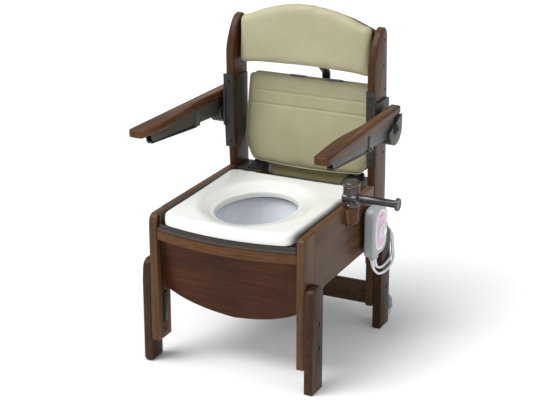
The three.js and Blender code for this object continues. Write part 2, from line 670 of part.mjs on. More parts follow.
// Leads: a heater lead to the seat and a mains lead whose spare length hangs in a hank
const heaterRoute = [
  [224, 362, 213.7], [224, 363, 205], [225, 370, 190], [226.5, 387, 179], [227, 411, 175], [227, 444, 177],
  [227, 468, 186], [221, 486, 203], [211, 492, 232], [198, 493, 265], [182, 493, 310], [168, 491, 345],
  [156, 489.5, 358], [145, 489.5, 361], [132.2, 489.5, 361],
];
const mainsRoute = [
  [224, 346, 213.7], [224, 347, 204], [226, 354, 186], [230, 373, 169], [232, 404, 162], [232, 442, 162],
  [230.5, 466, 168], [226, 485, 180], [219, 498, 196], [216, 502.9, 214],
  [211.6, 502.9, 230.5], [199.5, 502.9, 242.6], [183, 502.9, 247], [166.5, 502.9, 242.6],
  [154.4, 502.9, 230.5], [150.2, 502.9, 214],
];
const tailRoute = [
  [199.4, 499.8, 76], [203.2, 501.4, 70.9], [205.7, 503.4, 64.9], [206.5, 505, 60], [206.5, 505, 56.9],
];

function makeLeads() {
  place(chair, 'heater_lead', cordTube(heaterRoute, 8, 32), cordWhite);
  place(chair, 'mains_lead', cordTube(mainsRoute, 8, 34), cordWhite);
  place(chair, 'mains_tail', cordTube(tailRoute, 8, 4), cordWhite);
  const gland = join(box(122, 131.9, 480 + gap, 497, 353, 369));
  place(chair, 'heater_gland', gland, blackPlastic);
  const x0 = hankX - hankHalf;
  const x1 = hankX + hankHalf;
  const hankShape = roundedRect(x0, x1, hankLow, hankHigh, hankHalf - 0.5);
  place(chair, 'cord_hank', alongY(hankShape, hankFront, hankBack, 3, 5), cordWhite);
  const near = gap;
  const far = gap + strapWall;
  const outside = box(x0 - far, x1 + far, hankFront - far, hankBack + far, 136, 156);
  const inside = box(x0 - near, x1 + near, hankFront - near, hankBack + near, 120, 170);
  const tab = box(184, 198, postRear + gap, hankFront - 1, 138, 154);
  place(chair, 'hank_strap', join(cut(outside, inside), tab), blackPlastic);
  const plugX = 206.5;
  const plugBody = alongZ(roundedRect(plugX - 10.5, plugX + 10.5, 494, 516, 5), 22, 56, 2, 4);
  const blades = [-6, 4.5].map((x) => box(plugX + x, plugX + x + 1.5, 502, 508, 5, 24));
  place(chair, 'mains_plug', join(plugBody, ...blades), plugGrey);
}

makeSideFrames();
makeLegs();
makeRails();
makeTray();
makeBucket();
makeSeat();
makeLid();
makeBackrest();
makeArms();
makeHolder();
makeController();
makeLeads();
chair.position.set(-footprintX, -footprintY, 0);

const whole = new THREE.Group();
whole.add(chair);
export default whole;
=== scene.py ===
import math

import bpy
from mathutils import Matrix, Vector


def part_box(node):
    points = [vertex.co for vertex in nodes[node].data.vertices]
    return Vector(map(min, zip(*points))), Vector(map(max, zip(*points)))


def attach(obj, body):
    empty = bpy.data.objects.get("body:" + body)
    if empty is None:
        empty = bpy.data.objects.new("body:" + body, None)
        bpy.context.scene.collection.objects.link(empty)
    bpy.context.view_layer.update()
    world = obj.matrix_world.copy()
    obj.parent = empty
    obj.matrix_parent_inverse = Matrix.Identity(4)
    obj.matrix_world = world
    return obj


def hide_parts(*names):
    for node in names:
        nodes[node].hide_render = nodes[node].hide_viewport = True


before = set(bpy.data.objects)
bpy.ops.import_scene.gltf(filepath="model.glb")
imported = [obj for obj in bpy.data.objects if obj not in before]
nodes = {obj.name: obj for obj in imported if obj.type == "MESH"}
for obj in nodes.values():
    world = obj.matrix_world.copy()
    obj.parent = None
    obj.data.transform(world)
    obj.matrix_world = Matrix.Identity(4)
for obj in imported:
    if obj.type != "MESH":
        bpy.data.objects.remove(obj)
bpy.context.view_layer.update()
scene = bpy.context.scene
print("frame loaded:", len(nodes), "nodes")

# the chair's own place: its mid plane and the front of its legs
midX = (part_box("side_panel_left")[0].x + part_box("side_panel_right")[1].x) / 2
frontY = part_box("leg_front_right")[0].y
sides = {"right": 1, "left": -1}
merge = 0.00001  # points closer than this are one


def at(x, y, z):  # a point in the chair's own millimetres
    return Vector((midX + x / 1000, frontY + y / 1000, z / 1000))


# working on a mesh
def activate(obj):
    bpy.ops.object.select_all(action="DESELECT")
    obj.select_set(True)
    bpy.context.view_layer.objects.active = obj


def edit(obj, kind="VERT"):
    activate(obj)
    bpy.ops.object.mode_set(mode="EDIT")
    bpy.ops.mesh.select_mode(type=kind)
    bpy.ops.mesh.select_all(action="DESELECT")


def leaveEdit():
    bpy.ops.object.mode_set(mode="OBJECT")


def selectWhere(obj, test):
    edit(obj)
    leaveEdit()
    for vertex in obj.data.vertices:
        vertex.select = test(vertex)
    bpy.ops.object.mode_set(mode="EDIT")


def applyAll(obj):
    activate(obj)
    for modifier in list(obj.modifiers):
        bpy.ops.object.modifier_apply(modifier=modifier.name)


def editAll(obj):
    edit(obj)
    bpy.ops.mesh.select_all(action="SELECT")


def put(name, data):
    obj = bpy.data.objects.new(name, data)
    scene.collection.objects.link(obj)
    return obj


def named(name):  # the piece that was made last
    obj = bpy.context.object
    obj.name = obj.data.name = name
    return obj


def finish(obj, material, body, standsFor=(), angle=38):
    activate(obj)
    bpy.ops.object.transform_apply(location=True, rotation=True, scale=True)
    if angle:
        bpy.ops.object.shade_smooth_by_angle(angle=math.radians(angle))
    obj.data.materials.clear()
    obj.data.materials.append(materials[material])
    if standsFor:
        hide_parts(*standsFor)
    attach(obj, body)
    return obj


def copyOf(node, name):
    obj = put(name, nodes[node].data.copy())
    activate(obj)
    bpy.ops.mesh.customdata_custom_splitnormals_clear()
    editAll(obj)
    bpy.ops.mesh.remove_doubles(threshold=merge)
    bpy.ops.mesh.dissolve_limited(angle_limit=math.radians(0.7))
    leaveEdit()
    return obj


def bevelEdges(obj, width, segments=3, sharp=30, keep=None):
    edit(obj, "EDGE")
    bpy.ops.mesh.edges_select_sharp(sharpness=math.radians(sharp))
    if keep:  # only the edges that it says yes to
        leaveEdit()
        points = obj.data.vertices
        for edge in obj.data.edges:
            if edge.select and not keep((points[edge.vertices[0]].co + points[edge.vertices[1]].co) / 2):
                edge.select = False
        for part in (*obj.data.polygons, *points):
            part.select = False
        bpy.ops.object.mode_set(mode="EDIT")
    bpy.ops.mesh.bevel(offset=width / 1000, segments=segments, profile=0.5, affect="EDGES", clamp_overlap=True)
    leaveEdit()
    return obj


def loftRings(name, rings, closed=False):  # a skin through the rings, capped unless it closes on itself
    count = len(rings[0])
    bpy.ops.mesh.primitive_circle_add(vertices=count, radius=1, fill_type="NOTHING")
    obj = named(name)
    mesh = obj.data
    for vertex, point in zip(mesh.vertices, rings[0]):
        vertex.co = point
    last = list(range(count))
    for ring in rings[1:]:
        selectWhere(obj, lambda v, last=set(last): v.index in last)
        start = len(mesh.vertices)
        bpy.ops.mesh.extrude_edges_move()
        leaveEdit()
        place = {tuple(round(c, 6) for c in mesh.vertices[i].co): j for j, i in enumerate(last)}
        new = [0] * count
        for vertex in mesh.vertices[start:]:
            new[place[tuple(round(c, 6) for c in vertex.co)]] = vertex.index
        for j, i in enumerate(new):
            mesh.vertices[i].co = ring[j]
        last = new
    for ends in () if closed else (range(count), last):
        selectWhere(obj, lambda v, ends=set(ends): v.index in ends)
        bpy.ops.mesh.edge_face_add()
        leaveEdit()
    if closed:
        for i, j in zip(last, range(count)):
            mesh.vertices[i].co = mesh.vertices[j].co
    editAll(obj)
    bpy.ops.mesh.remove_doubles(threshold=merge)
    bpy.ops.mesh.normals_make_consistent(inside=False)
    leaveEdit()
    return obj


def circle(centre, radius, axis, count=40):
    axis = Vector(axis).normalized()
    side = Vector((0, 0, 1)).cross(axis)
    side = side.normalized() if side.length > 0.01 else Vector((1, 0, 0))
    up = axis.cross(side)
    turns = [2 * math.pi * i / count for i in range(count)]
    return [centre + side * (radius * math.cos(a)) + up * (radius * math.sin(a)) for a in turns]


def squared(count, power):  # points round a unit circle that is pushed out towards its corners
    turns = [2 * math.pi * i / count for i in range(count)]
    return [[math.copysign(abs(c) ** power, c) for c in (math.cos(a), math.sin(a))] for a in turns]


def turned(name, profile, centre, axis, count=40):
    axis = Vector(axis).normalized()
    rings = [circle(centre + axis * (h / 1000), r / 1000, axis, count) for r, h in profile]
    return loftRings(name, rings)


def block(name, low, high, bevel=1.0, segments=2):
    bpy.ops.mesh.primitive_cube_add(size=1, location=(low + high) / 2)
    obj = named(name)
    obj.scale = high - low
    bpy.ops.object.transform_apply(location=True, rotation=True, scale=True)
    return bevelEdges(obj, bevel, segments)


def joined(name, pieces):
    bpy.ops.object.select_all(action="DESELECT")
    for piece in pieces:
        piece.select_set(True)
    bpy.context.view_layer.objects.active = pieces[0]
    bpy.ops.object.join()
    return named(name)


def tube(name, path, radius, radii=None, smooth=4):
    curve = bpy.data.curves.new(name, "CURVE")
    curve.dimensions = "3D"
    curve.bevel_depth = radius
    curve.bevel_resolution = smooth
    curve.use_fill_caps = True
    spline = curve.splines.new("POLY")
    spline.points.add(len(path) - 1)
    for i, point in enumerate(path):
        spline.points[i].co = (*point, 1)
        spline.points[i].radius = radii[i] if radii else 1
    activate(put(name, curve))
    bpy.ops.object.convert(target="MESH")
    return bpy.context.object


def smoothPath(points, step=0.003):  # a curve through the points, evenly divided
    ends = [points[0] * 2 - points[1], *points, points[-1] * 2 - points[-2]]
    fine = []
    for a, b, c, d in zip(ends, ends[1:], ends[2:], ends[3:]):
        t = [0.0]
        for p, q in ((a, b), (b, c), (c, d)):
            t.append(t[-1] + max((q - p).length, 1e-6) ** 0.5)
        for i in range(16):
            u = t[1] + (t[2] - t[1]) * i / 16
            ab = a.lerp(b, (u - t[0]) / (t[1] - t[0]))
            bc = b.lerp(c, (u - t[1]) / (t[2] - t[1]))
            cd = c.lerp(d, (u - t[2]) / (t[3] - t[2]))
            abc = ab.lerp(bc, (u - t[0]) / (t[2] - t[0]))
            bcd = bc.lerp(cd, (u - t[1]) / (t[3] - t[1]))
            fine.append(abc.lerp(bcd, (u - t[1]) / (t[2] - t[1])))
    fine.append(points[-1])
    return evenly(fine, step)


def bends(runs, count):  # points along curves that each pull towards their middle point
    points = []
    for a, b, c in runs:
        for i in range(count):
            t = i / count
            points.append(tuple((1 - t) ** 2 * a[k] + 2 * t * (1 - t) * b[k] + t * t * c[k] for k in (0, 1)))
    return points


def mirrored(runs):  # the same curves on the other side, walked the other way
    return [tuple((-x, y) for x, y in reversed(run)) for run in reversed(runs)]


def pathLength(path):
    return sum((b - a).length for a, b in zip(path, path[1:]))


def evenly(path, step):
    total = pathLength(path)
    count = max(2, round(total / step))
    result, walked, k = [path[0]], 0.0, 0
    for i in range(1, count):
        goal = total * i / count
        while walked + (path[k + 1] - path[k]).length < goal:
            walked += (path[k + 1] - path[k]).length
            k += 1
        result.append(path[k].lerp(path[k + 1], (goal - walked) / (path[k + 1] - path[k]).length))
    return [*result, path[-1]]


# shared effects, each built once as a node group
def newGroup(name, inputs, outputs=("Roughness", "Height")):  # they all take a place and put out a colour
    group = bpy.data.node_groups.new(name, "ShaderNodeTree")
    for label, kind, value in (("Vector", vector, None), *inputs):
        socket = group.interface.new_socket(name=label, in_out="INPUT", socket_type=kind)
        if value is not None:
            socket.default_value = value
    for label in ("Color", *outputs):
        group.interface.new_socket(name=label, in_out="OUTPUT", socket_type=number if label in outputs else colour)
    wires = Wires(group)
    wires.out = group.nodes.new("NodeGroupOutput").inputs
    return group, group.nodes.new("NodeGroupInput").outputs, wires


number = "NodeSocketFloat"
vector = "NodeSocketVector"
colour = "NodeSocketColor"


class Wires:  # adds nodes to a tree and joins them
    def __init__(self, tree):
        self.tree = tree

    def add(self, kind, values=None, **sockets):
        node = self.tree.nodes.new(kind)
        for key, value in (values or {}).items():
            setattr(node, key, value)
        for key, value in sockets.items():
            self.feed(node, key.replace("_", " "), value)
        return node

    def feed(self, node, key, value):
        socket = node.inputs[int(key[1:])] if key[0] == "i" and key[1:].isdigit() else node.inputs[key]
        if isinstance(value, bpy.types.NodeSocket):
            self.tree.links.new(value, socket)
        else:
            socket.default_value = value

    def give(self, color, **others):  # what a group puts out
        for key, value in {"Color": color, **others}.items():
            self.tree.links.new(value, self.out[key])

    def math(self, operation, a, b=0.0, clamp=False):
        node = self.add("ShaderNodeMath", {"operation": operation, "use_clamp": clamp}, i0=a, i1=b)
        return node.outputs[0]

    def times(self, a, b):
        return self.math("MULTIPLY", a, b)

    def noise(self, where, scale, detail=3.0, rough=0.5, warp=0.0):
        node = self.add("ShaderNodeTexNoise", None, Vector=where, Scale=scale, Detail=detail, Roughness=rough,
                        Distortion=warp)
        return node.outputs["Fac"]

    def stretch(self, where, scale):
        node = self.add("ShaderNodeMapping", None, Vector=where, Scale=scale)
        return node.outputs["Vector"]

    def spread(self, value, low, high, outLow=0.0, outHigh=1.0):
        node = self.add("ShaderNodeMapRange", {"clamp": True}, i0=value, i1=low, i2=high, i3=outLow, i4=outHigh)
        return node.outputs[0]

    def mix(self, share, a, b, blend="MIX"):
        node = self.add("ShaderNodeMix", {"data_type": "RGBA", "blend_type": blend}, i0=share, i6=a, i7=b)
        return node.outputs[2]


def makeWoodGrain():
    group, given, w = newGroup(
        "woodGrain", [("Dark", colour, None), ("Light", colour, None), ("Figure", number, 0.5)])
    where = given["Vector"]  # the grain runs along Z here
    wide = w.noise(w.stretch(where, (9, 9, 1.1)), 3.0, 4.0, 0.6, 0.6)
    bands = w.noise(w.stretch(where, (60, 60, 2.2)), 3.2, 5.0, 0.62, 0.4)
    pores = w.noise(w.stretch(where, (420, 420, 14)), 2.6, 3.0, 0.7)
    blotch = w.noise(where, 7.0, 3.0, 0.55)
    figure = w.math("ADD", w.times(wide, 0.45), w.times(bands, 0.55))
    tone = w.spread(figure, 0.36, 0.64)
    poreMask = w.spread(pores, 0.56, 0.7)
    base = w.mix(tone, given["Dark"], given["Light"])
    shaded = w.mix(w.times(poreMask, 0.55), base, (0.012, 0.006, 0.004, 1))
    warm = w.mix(w.times(w.spread(blotch, 0.4, 0.68), given["Figure"]), shaded,
                 given["Dark"])
    w.give(warm, Roughness=w.spread(w.math("ADD", bands, w.times(poreMask, 0.5)), 0.3, 1.1, 0.27, 0.46),
           Height=w.math("SUBTRACT", w.times(bands, 0.4), w.times(poreMask, 0.6)))
    return group


def makeFineMould():  # the faint texture and tone drift of a moulded surface
    group, given, w = newGroup(
        "fineMould",
        [("Colour", colour, None), ("Grain", number, 900.0), ("Drift", number, 0.08),
         ("Low", number, 0.3), ("High", number, 0.42)],
    )
    where = given["Vector"]
    drift = w.noise(where, 6.0, 4.0, 0.55)
    grain = w.noise(where, given["Grain"], 2.0, 0.6)
    rubAndHighlight = w.noise(w.stretch(where, (1, 3, 1)), 34.0, 5.0, 0.68)
    darker = w.mix(w.times(w.spread(drift, 0.35, 0.7), given["Drift"]), given["Colour"],
                   (0.02, 0.018, 0.016, 1))
    w.give(darker, Roughness=w.spread(rubAndHighlight, 0.3, 0.72, given["Low"], given["High"]), Height=grain)
    return group


def makeHideGrain():  # the pebbled pores and soft creases of upholstery vinyl
    group, given, w = newGroup("hideGrain", [("Colour", colour, None), ("Shade", colour, None)])
    where = given["Vector"]
    bent = w.add("ShaderNodeVectorMath", {"operation": "ADD"}, i0=where,
                 i1=w.add("ShaderNodeTexNoise", None, Vector=where, Scale=160.0).outputs["Color"])
    cells = w.add("ShaderNodeTexVoronoi", {"feature": "DISTANCE_TO_EDGE"}, Vector=where, Scale=620.0)
    small = w.add("ShaderNodeTexVoronoi", {"feature": "F1"}, Vector=bent.outputs[0], Scale=1100.0)
    pebble = w.math("ADD", w.spread(cells.outputs["Distance"], 0.0, 0.35, 0.0, 0.7),
                    w.times(small.outputs["Distance"], 0.3))
    broad = w.noise(where, 9.0, 4.0, 0.55)
    tone = w.mix(w.spread(broad, 0.35, 0.68), given["Colour"], given["Shade"])
    pores = w.mix(w.times(w.spread(pebble, 0.0, 0.3, 1.0, 0.0), 0.35), tone, given["Shade"])
    w.give(pores, Roughness=w.spread(w.noise(where, 40.0, 4.0, 0.6), 0.3, 0.7, 0.4, 0.56), Height=pebble)
    return group


def makeBrushed():  # fine drawn lines and specks on plated metal
    group, given, w = newGroup(
        "brushedMetal", [("Colour", colour, None), ("Worn", colour, None), ("Lines", vector, (1, 40, 1))])
    lined = w.add("ShaderNodeVectorMath", {"operation": "MULTIPLY"}, i0=given["Vector"],
                  i1=given["Lines"])
    lines = w.noise(lined.outputs[0], 60.0, 4.0, 0.7)
    patch = w.noise(given["Vector"], 45.0, 4.0, 0.6)
    worn = w.math("ADD", w.times(lines, 0.6), w.times(patch, 0.4))
    w.give(w.mix(w.spread(patch, 0.45, 0.75), given["Colour"], given["Worn"]),
           Roughness=w.spread(worn, 0.3, 0.7, 0.22, 0.42), Height=lines)
    return group


def makeEdgeRubAndHighlight():  # paler on convex corners: partly rubbed wear, partly painted highlight
    group, given, w = newGroup(
        "edgeRubAndHighlight", [("Color", colour, None), ("RubbedAndHighlight", colour, None), ("Amount", number, 0.5)], ())
    point = w.add("ShaderNodeNewGeometry").outputs["Pointiness"]
    broken = w.noise(given["Vector"], 70.0, 5.0, 0.65)
    edge = w.spread(point, 0.51, 0.6)
    mask = w.math("MULTIPLY", w.times(edge, w.spread(broken, 0.3, 0.65, 0.35, 1.0)), given["Amount"], clamp=True)
    w.give(w.mix(mask, given["Color"], given["RubbedAndHighlight"]))
    return group


woodGrain = makeWoodGrain()
fineMould = makeFineMould()
hideGrain = makeHideGrain()
brushedMetal = makeBrushed()
edgeRubAndHighlight = makeEdgeRubAndHighlight()
grainTurn = {"x": (0, math.pi / 2, 0), "y": (math.pi / 2, 0, 0), "z": (0, 0, 0)}


def newMaterial(name, group, inputs, bump, distance, principled=None, turn=(0, 0, 0), shift=(0, 0, 0), rubAndHighlight=None):
    material = bpy.data.materials.new(name)
    material.use_nodes = True
    tree = material.node_tree
    shader = tree.nodes["Principled BSDF"]
    w = Wires(tree)
    coords = w.add("ShaderNodeTexCoord").outputs["Object"]
    placed = w.add("ShaderNodeMapping", None, Vector=coords, Rotation=turn, Location=shift).outputs["Vector"]
    effect = w.add("ShaderNodeGroup", {"node_tree": group})
    tree.links.new(placed, effect.inputs["Vector"])
    for key, value in inputs.items():
        effect.inputs[key].default_value = value
    surface = effect.outputs["Color"]
    # convex edges painted paler: partly rubbed wear, partly painted highlight
    if rubAndHighlight:
        wearAndHighlight = w.add("ShaderNodeGroup", {"node_tree": edgeRubAndHighlight})
        tree.links.new(placed, wearAndHighlight.inputs["Vector"])
        tree.links.new(surface, wearAndHighlight.inputs["Color"])
        wearAndHighlight.inputs["RubbedAndHighlight"].default_value = (*rubAndHighlight[0], 1)
        wearAndHighlight.inputs["Amount"].default_value = rubAndHighlight[1]
        surface = wearAndHighlight.outputs["Color"]
    tree.links.new(surface, shader.inputs["Base Color"])
    tree.links.new(effect.outputs["Roughness"], shader.inputs["Roughness"])
    relief = w.add("ShaderNodeBump", None, Strength=bump, Distance=distance, Height=effect.outputs["Height"])
    tree.links.new(relief.outputs["Normal"], shader.inputs["Normal"])
    for key, value in (principled or {}).items():
        shader.inputs[key].default_value = value
    return material


# every wood edge is painted paler: partly rubbed wear, partly painted highlight
def wood(name, axis, dark, light, figure=0.5, rubAndHighlight=((0.3, 0.17, 0.09), 0.5), shift=(0, 0, 0)):
    tones = {"Dark": (*dark, 1), "Light": (*light, 1), "Figure": figure}
    lacquer = {"Coat Weight": 0.07, "Coat Roughness": 0.12, "Specular IOR Level": 0.08}
    return newMaterial(name, woodGrain, tones, 0.22, 0.0006, lacquer, grainTurn[axis], shift, rubAndHighlight)


def moulded(name, base, grain, drift, low, high, bump=0.08, extra=None, rubAndHighlight=None):
    values = {"Colour": (*base, 1), "Grain": grain, "Drift": drift, "Low": low, "High": high}
    return newMaterial(name, fineMould, values, bump, 0.0002, extra, rubAndHighlight=rubAndHighlight)


def plated(name, base, worn, lines, metallic=1.0):
    values = {"Colour": (*base, 1), "Worn": (*worn, 1), "Lines": lines}
    return newMaterial(name, brushedMetal, values, 0.05, 0.0002, {"Metallic": metallic})


def hide(name, base, shade, bump, distance, extra=None):
    return newMaterial(name, hideGrain, {"Colour": (*base, 1), "Shade": (*shade, 1)}, bump, distance, extra)


materials = {
    "post": wood("walnutPost", "z", (0.02, 0.0074, 0.0032), (0.09, 0.037, 0.0142)),
    # the legs' walnut is about half as dark as the posts': painted shade
    "leg": wood("walnutLeg", "z", (0.01, 0.004, 0.002), (0.044, 0.018, 0.008), shift=(0.31, 0.2, 0.1)),
    "stile": wood("walnutStile", "z", (0.032, 0.0145, 0.0062), (0.125, 0.062, 0.0275), 0.35, shift=(0.11, 0.4, 0)),
    "side": wood("walnutSide", "y", (0.04, 0.0185, 0.0088), (0.135, 0.068, 0.032), 0.45, shift=(0.5, 0.1, 0.3)),
    "arm": wood("walnutArm", "y", (0.034, 0.0125, 0.0058), (0.145, 0.061, 0.027), 0.4, shift=(0.2, 0.3, 0.6)),
    "rail": wood("walnutRail", "x", (0.046, 0.0175, 0.007), (0.145, 0.064, 0.0255), 0.35, shift=(0.6, 0.2, 0.9)),
    "front": wood("walnutFront", "x", (0.028, 0.0078, 0.0032), (0.1, 0.03, 0.0115), 0.55, shift=(0.9, 0.7, 0.2)),
    "cross": wood("walnutCross", "x", (0.014, 0.0058, 0.0031), (0.05, 0.0235, 0.0115), 0.5, shift=(0.7, 0.1, 0.4)),
    "vinyl": hide("oliveVinyl", (0.45, 0.42, 0.265), (0.385, 0.355, 0.21), 0.16, 0.0004,
                  {"Sheen Weight": 0.12, "Sheen Roughness": 0.4, "Specular IOR Level": 0.4}),
    # a darker, yellower copy of the olive vinyl for the lid boards: painted shade
    "vinylShaded": hide("oliveVinylShaded", (0.45, 0.4, 0.19), (0.36, 0.315, 0.145), 0.14, 0.0004,
                   {"Sheen Weight": 0.1, "Specular IOR Level": 0.3}),
    "welt": hide("oliveWelt", (0.5, 0.465, 0.3), (0.34, 0.31, 0.18), 0.14, 0.0003),
    "ivory": moulded("ivorySeat", (0.86, 0.86, 0.825), 500.0, 0.02, 0.1, 0.2, 0.03,
                     {"Coat Weight": 0.4, "Coat Roughness": 0.06, "Subsurface Weight": 0.05}),
    "lavender": moulded("lavenderBucket", (0.79, 0.81, 0.86), 500.0, 0.04, 0.22, 0.34, 0.04),
    "tray": moulded("brownTray", (0.045, 0.034, 0.026), 1400.0, 0.2, 0.36, 0.55, 0.2),
    "black": moulded("blackPlastic", (0.012, 0.012, 0.013), 1500.0, 0.1, 0.38, 0.54, 0.18,
                     {"Specular IOR Level": 0.22}),
    # the bracket and beam edges are painted paler: partly rubbed wear, partly painted highlight
    "bracket": moulded("bracketCoat", (0.024, 0.0215, 0.0175), 2200.0, 0.2, 0.36, 0.52, 0.25,
                       {"Specular IOR Level": 0.3}, ((0.09, 0.085, 0.075), 0.4)),
    "beam": moulded("beamPlastic", (0.046, 0.043, 0.037), 1500.0, 0.2, 0.34, 0.5, 0.16,
                    {"Specular IOR Level": 0.35}, ((0.14, 0.135, 0.125), 0.35)),
    "case": moulded("caseGrey", (0.38, 0.4, 0.41), 1100.0, 0.05, 0.3, 0.42, 0.08),
    "label": moulded("labelPink", (0.74, 0.5, 0.7), 300.0, 0.03, 0.35, 0.45, 0.02),
    "labelMark": moulded("labelMark", (0.22, 0.1, 0.3), 300.0, 0.03, 0.35, 0.45, 0.02),
    "warmMark": moulded("warmMark", (0.85, 0.12, 0.05), 300.0, 0.03, 0.35, 0.45, 0.02),
    "rim": moulded("rimWhite", (0.83, 0.83, 0.85), 600.0, 0.03, 0.28, 0.4, 0.05),
    "dial": moulded("dialWhite", (0.86, 0.85, 0.87), 800.0, 0.03, 0.25, 0.35, 0.05),
    "cord": moulded("cordWhite", (0.8, 0.8, 0.83), 900.0, 0.06, 0.4, 0.55, 0.08),
    "plug": moulded("plugGrey", (0.22, 0.29, 0.35), 900.0, 0.1, 0.35, 0.5, 0.1),
    "gunmetal": plated("gunmetal", (0.085, 0.08, 0.078), (0.13, 0.12, 0.115), (1, 1, 60), 0.75),
    "copper": plated("copperRing", (0.36, 0.2, 0.13), (0.28, 0.15, 0.1), (1, 1, 60)),
    "hinge": plated("hingePlate", (0.46, 0.5, 0.57), (0.34, 0.37, 0.42), (1, 40, 1)),
    "zinc": plated("zincPlate", (0.5, 0.51, 0.53), (0.36, 0.36, 0.37), (1, 1, 30)),
    "screw": plated("darkScrew", (0.03, 0.03, 0.03), (0.06, 0.058, 0.056), (1, 40, 1)),
}
print("finishes made:", len(materials))


# the controller's two cords: one into the seat and one to the wall
leads = {
    "radius": 0.0031,
    "heaterRoute": [
        (224, 362, 213.7), (224, 363, 205), (225, 370, 190), (226.5, 387, 179), (227, 411, 175), (227, 444, 177),
        (227, 468, 186), (221, 486, 203), (211, 492, 232), (198, 493, 265), (182, 493, 310), (168, 491, 345),
        (156, 489.5, 358), (145, 489.5, 361), (132.2, 489.5, 361),
    ],
    "mainsRoute": [
        (224, 346, 213.7), (224, 347, 204), (226, 354, 186), (230, 373, 169), (232, 404, 162), (232, 442, 162),
        (230.5, 466, 168), (226, 485, 180), (219, 498, 196), (216, 502.9, 214),
        (211.6, 502.9, 230.5), (199.5, 502.9, 242.6), (183, 502.9, 247), (166.5, 502.9, 242.6),
        (154.4, 502.9, 230.5), (150.1, 502.9, 214),
    ],
    "tailRoute": [(205.65, 502.6, 64.9), (206.5, 504.6, 58.5), (206.5, 505, 54)],
    "hankX": 175, "hankY": 502.9, "runLow": 102, "runHigh": 195,
    "outerFold": 24.9, "innerFold": 18.7, "layer": 6.25,
}


def hankTurns():  # two outer turns going back, two inner turns coming forward again
    x, low, high, layer = (leads[key] for key in ("hankX", "runLow", "runHigh", "layer"))
    outer, inner = leads["outerFold"], leads["innerFold"]
    # each pass: radius at its left run, at the fold below, at its right run and at the fold above
    passes = [(outer, outer, outer, outer), (outer, outer, outer, outer), (None, inner, inner, inner),
              (inner, inner, inner, inner), (inner, inner, None, None)]
    depths = [0, 1, 2, 1, 0]
    steps = [0.5, 0.5, -0.5, -0.5, -0.25]
    points = []
    for (leftR, lowR, rightR, highR), depth, step in zip(passes, depths, steps):
        y = leads["hankY"] + depth * layer
        for i in range(12):
            t = i / 12
            r = leftR if leftR else outer + (inner - outer) * (3 * t * t - 2 * t ** 3)
            points.append((x - r, y, high + (low - high) * t))
        foldParts = 12 if rightR else 6
        for i in range(foldParts):
            a = math.pi * i / 12
            points.append((x - lowR * math.cos(a), y + step * layer * i / 12, low - lowR * math.sin(a)))
        if rightR:
            for i in range(12):
                points.append((x + rightR, y + step * layer, low + (high - low) * i / 12))
            for i in range(12):
                a = math.pi * i / 12
                points.append((x + highR * math.cos(a), y + step * layer * (1 + i / 12), high + highR * math.sin(a)))
    return points


def bootOn(name, path, length, wide, narrow):  # a ribbed strain relief that tapers along a lead
    part = evenly(path, 0.0012)
    part = part[: max(8, int(length / 0.0012))]
    radii = []
    for i in range(len(part)):
        t = i / (len(part) - 1)
        rib = 0.93 if (i // 2) % 2 and t > 0.25 else 1.0
        radii.append((wide + (narrow - wide) * t) * rib)
    return finish(tube(name, part, 1.0, radii, 5), "cord", "chair", angle=50)


radius = leads["radius"]
heaterPath = smoothPath([at(*p) for p in leads["heaterRoute"]])
heaterLead = finish(tube("heaterLead", heaterPath, radius), "cord", "chair", ["heater_lead"],
                    60)
mainsPath = smoothPath([at(*p) for p in leads["mainsRoute"]])
turns = [at(*p) for p in hankTurns()]
sink = [at(182.5, 498.9, 83.2), at(190.2, 498.9, 81.9), at(197.5, 499.6, 77.6), at(202.8, 501, 71.6)]
tail = smoothPath([turns[-1], at(178.5, 500, 83.3), *sink, *[at(*p) for p in leads["tailRoute"]]])
mainsPath = evenly([*mainsPath[:-1], *turns, *tail[1:]], 0.0032)
mainsLead = finish(tube("mainsLead", mainsPath, radius), "cord", "chair",
                   ["mains_lead", "mains_tail", "cord_hank"], 60)
boots = [bootOn("heaterBoot", heaterPath, 0.028, 0.0052, 0.0037),
         bootOn("mainsBoot", mainsPath, 0.028, 0.0052, 0.0037),
         bootOn("heaterEndBoot", heaterPath[::-1], 0.022, 0.0048, 0.0036)]
print("leads:", round(pathLength(heaterPath), 3), "m and", round(pathLength(mainsPath), 3), "m")


def makePlug():
    low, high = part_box("mains_plug")
    middle = (low + high) / 2
    wide, deep = (high.x - low.x) / 2, (high.y - low.y) / 2

    def ring(z, sx, sy):
        return [Vector((middle.x + wide * sx * c, middle.y + deep * sy * s, z)) for c, s in squared(32, 0.5)]

    levels = [(0.022, 0.86, 0.86), (0.0225, 0.95, 0.95), (0.024, 1, 1), (0.03, 1, 1), (0.034, 0.9, 0.97),
              (0.04, 0.86, 0.94), (0.045, 0.82, 0.9), (0.05, 0.66, 0.72), (0.0535, 0.5, 0.55), (0.0558, 0.42, 0.46)]
    body = loftRings("plugBody", [ring(*level) for level in levels])
    grips = [block(f"grip{i}", Vector((middle.x - wide * 0.6, low.y + 0.0006, 0.036 + 0.0035 * i)),
                   Vector((middle.x + wide * 0.6, low.y + 0.0021, 0.0375 + 0.0035 * i)), 0.4) for i in range(3)]
    blades = []
    for x in (-0.006, 0.0045):
        blade = block("blade", Vector((middle.x + x, middle.y - 0.003, low.z)),
                      Vector((middle.x + x + 0.0015, middle.y + 0.003, 0.0225)), 0.4)
        blades.append(blade)
    plug = finish(joined("mainsPlug", [body, *grips]), "plug", "chair", ["mains_plug"], 40)
    pins = finish(joined("plugBlades", blades), "zinc", "chair")
    return [plug, pins]


plugParts = makePlug()


finish(bevelEdges(copyOf("hank_strap", "hankStrap"), 0.4, 2), "black", "chair", ["hank_strap"])


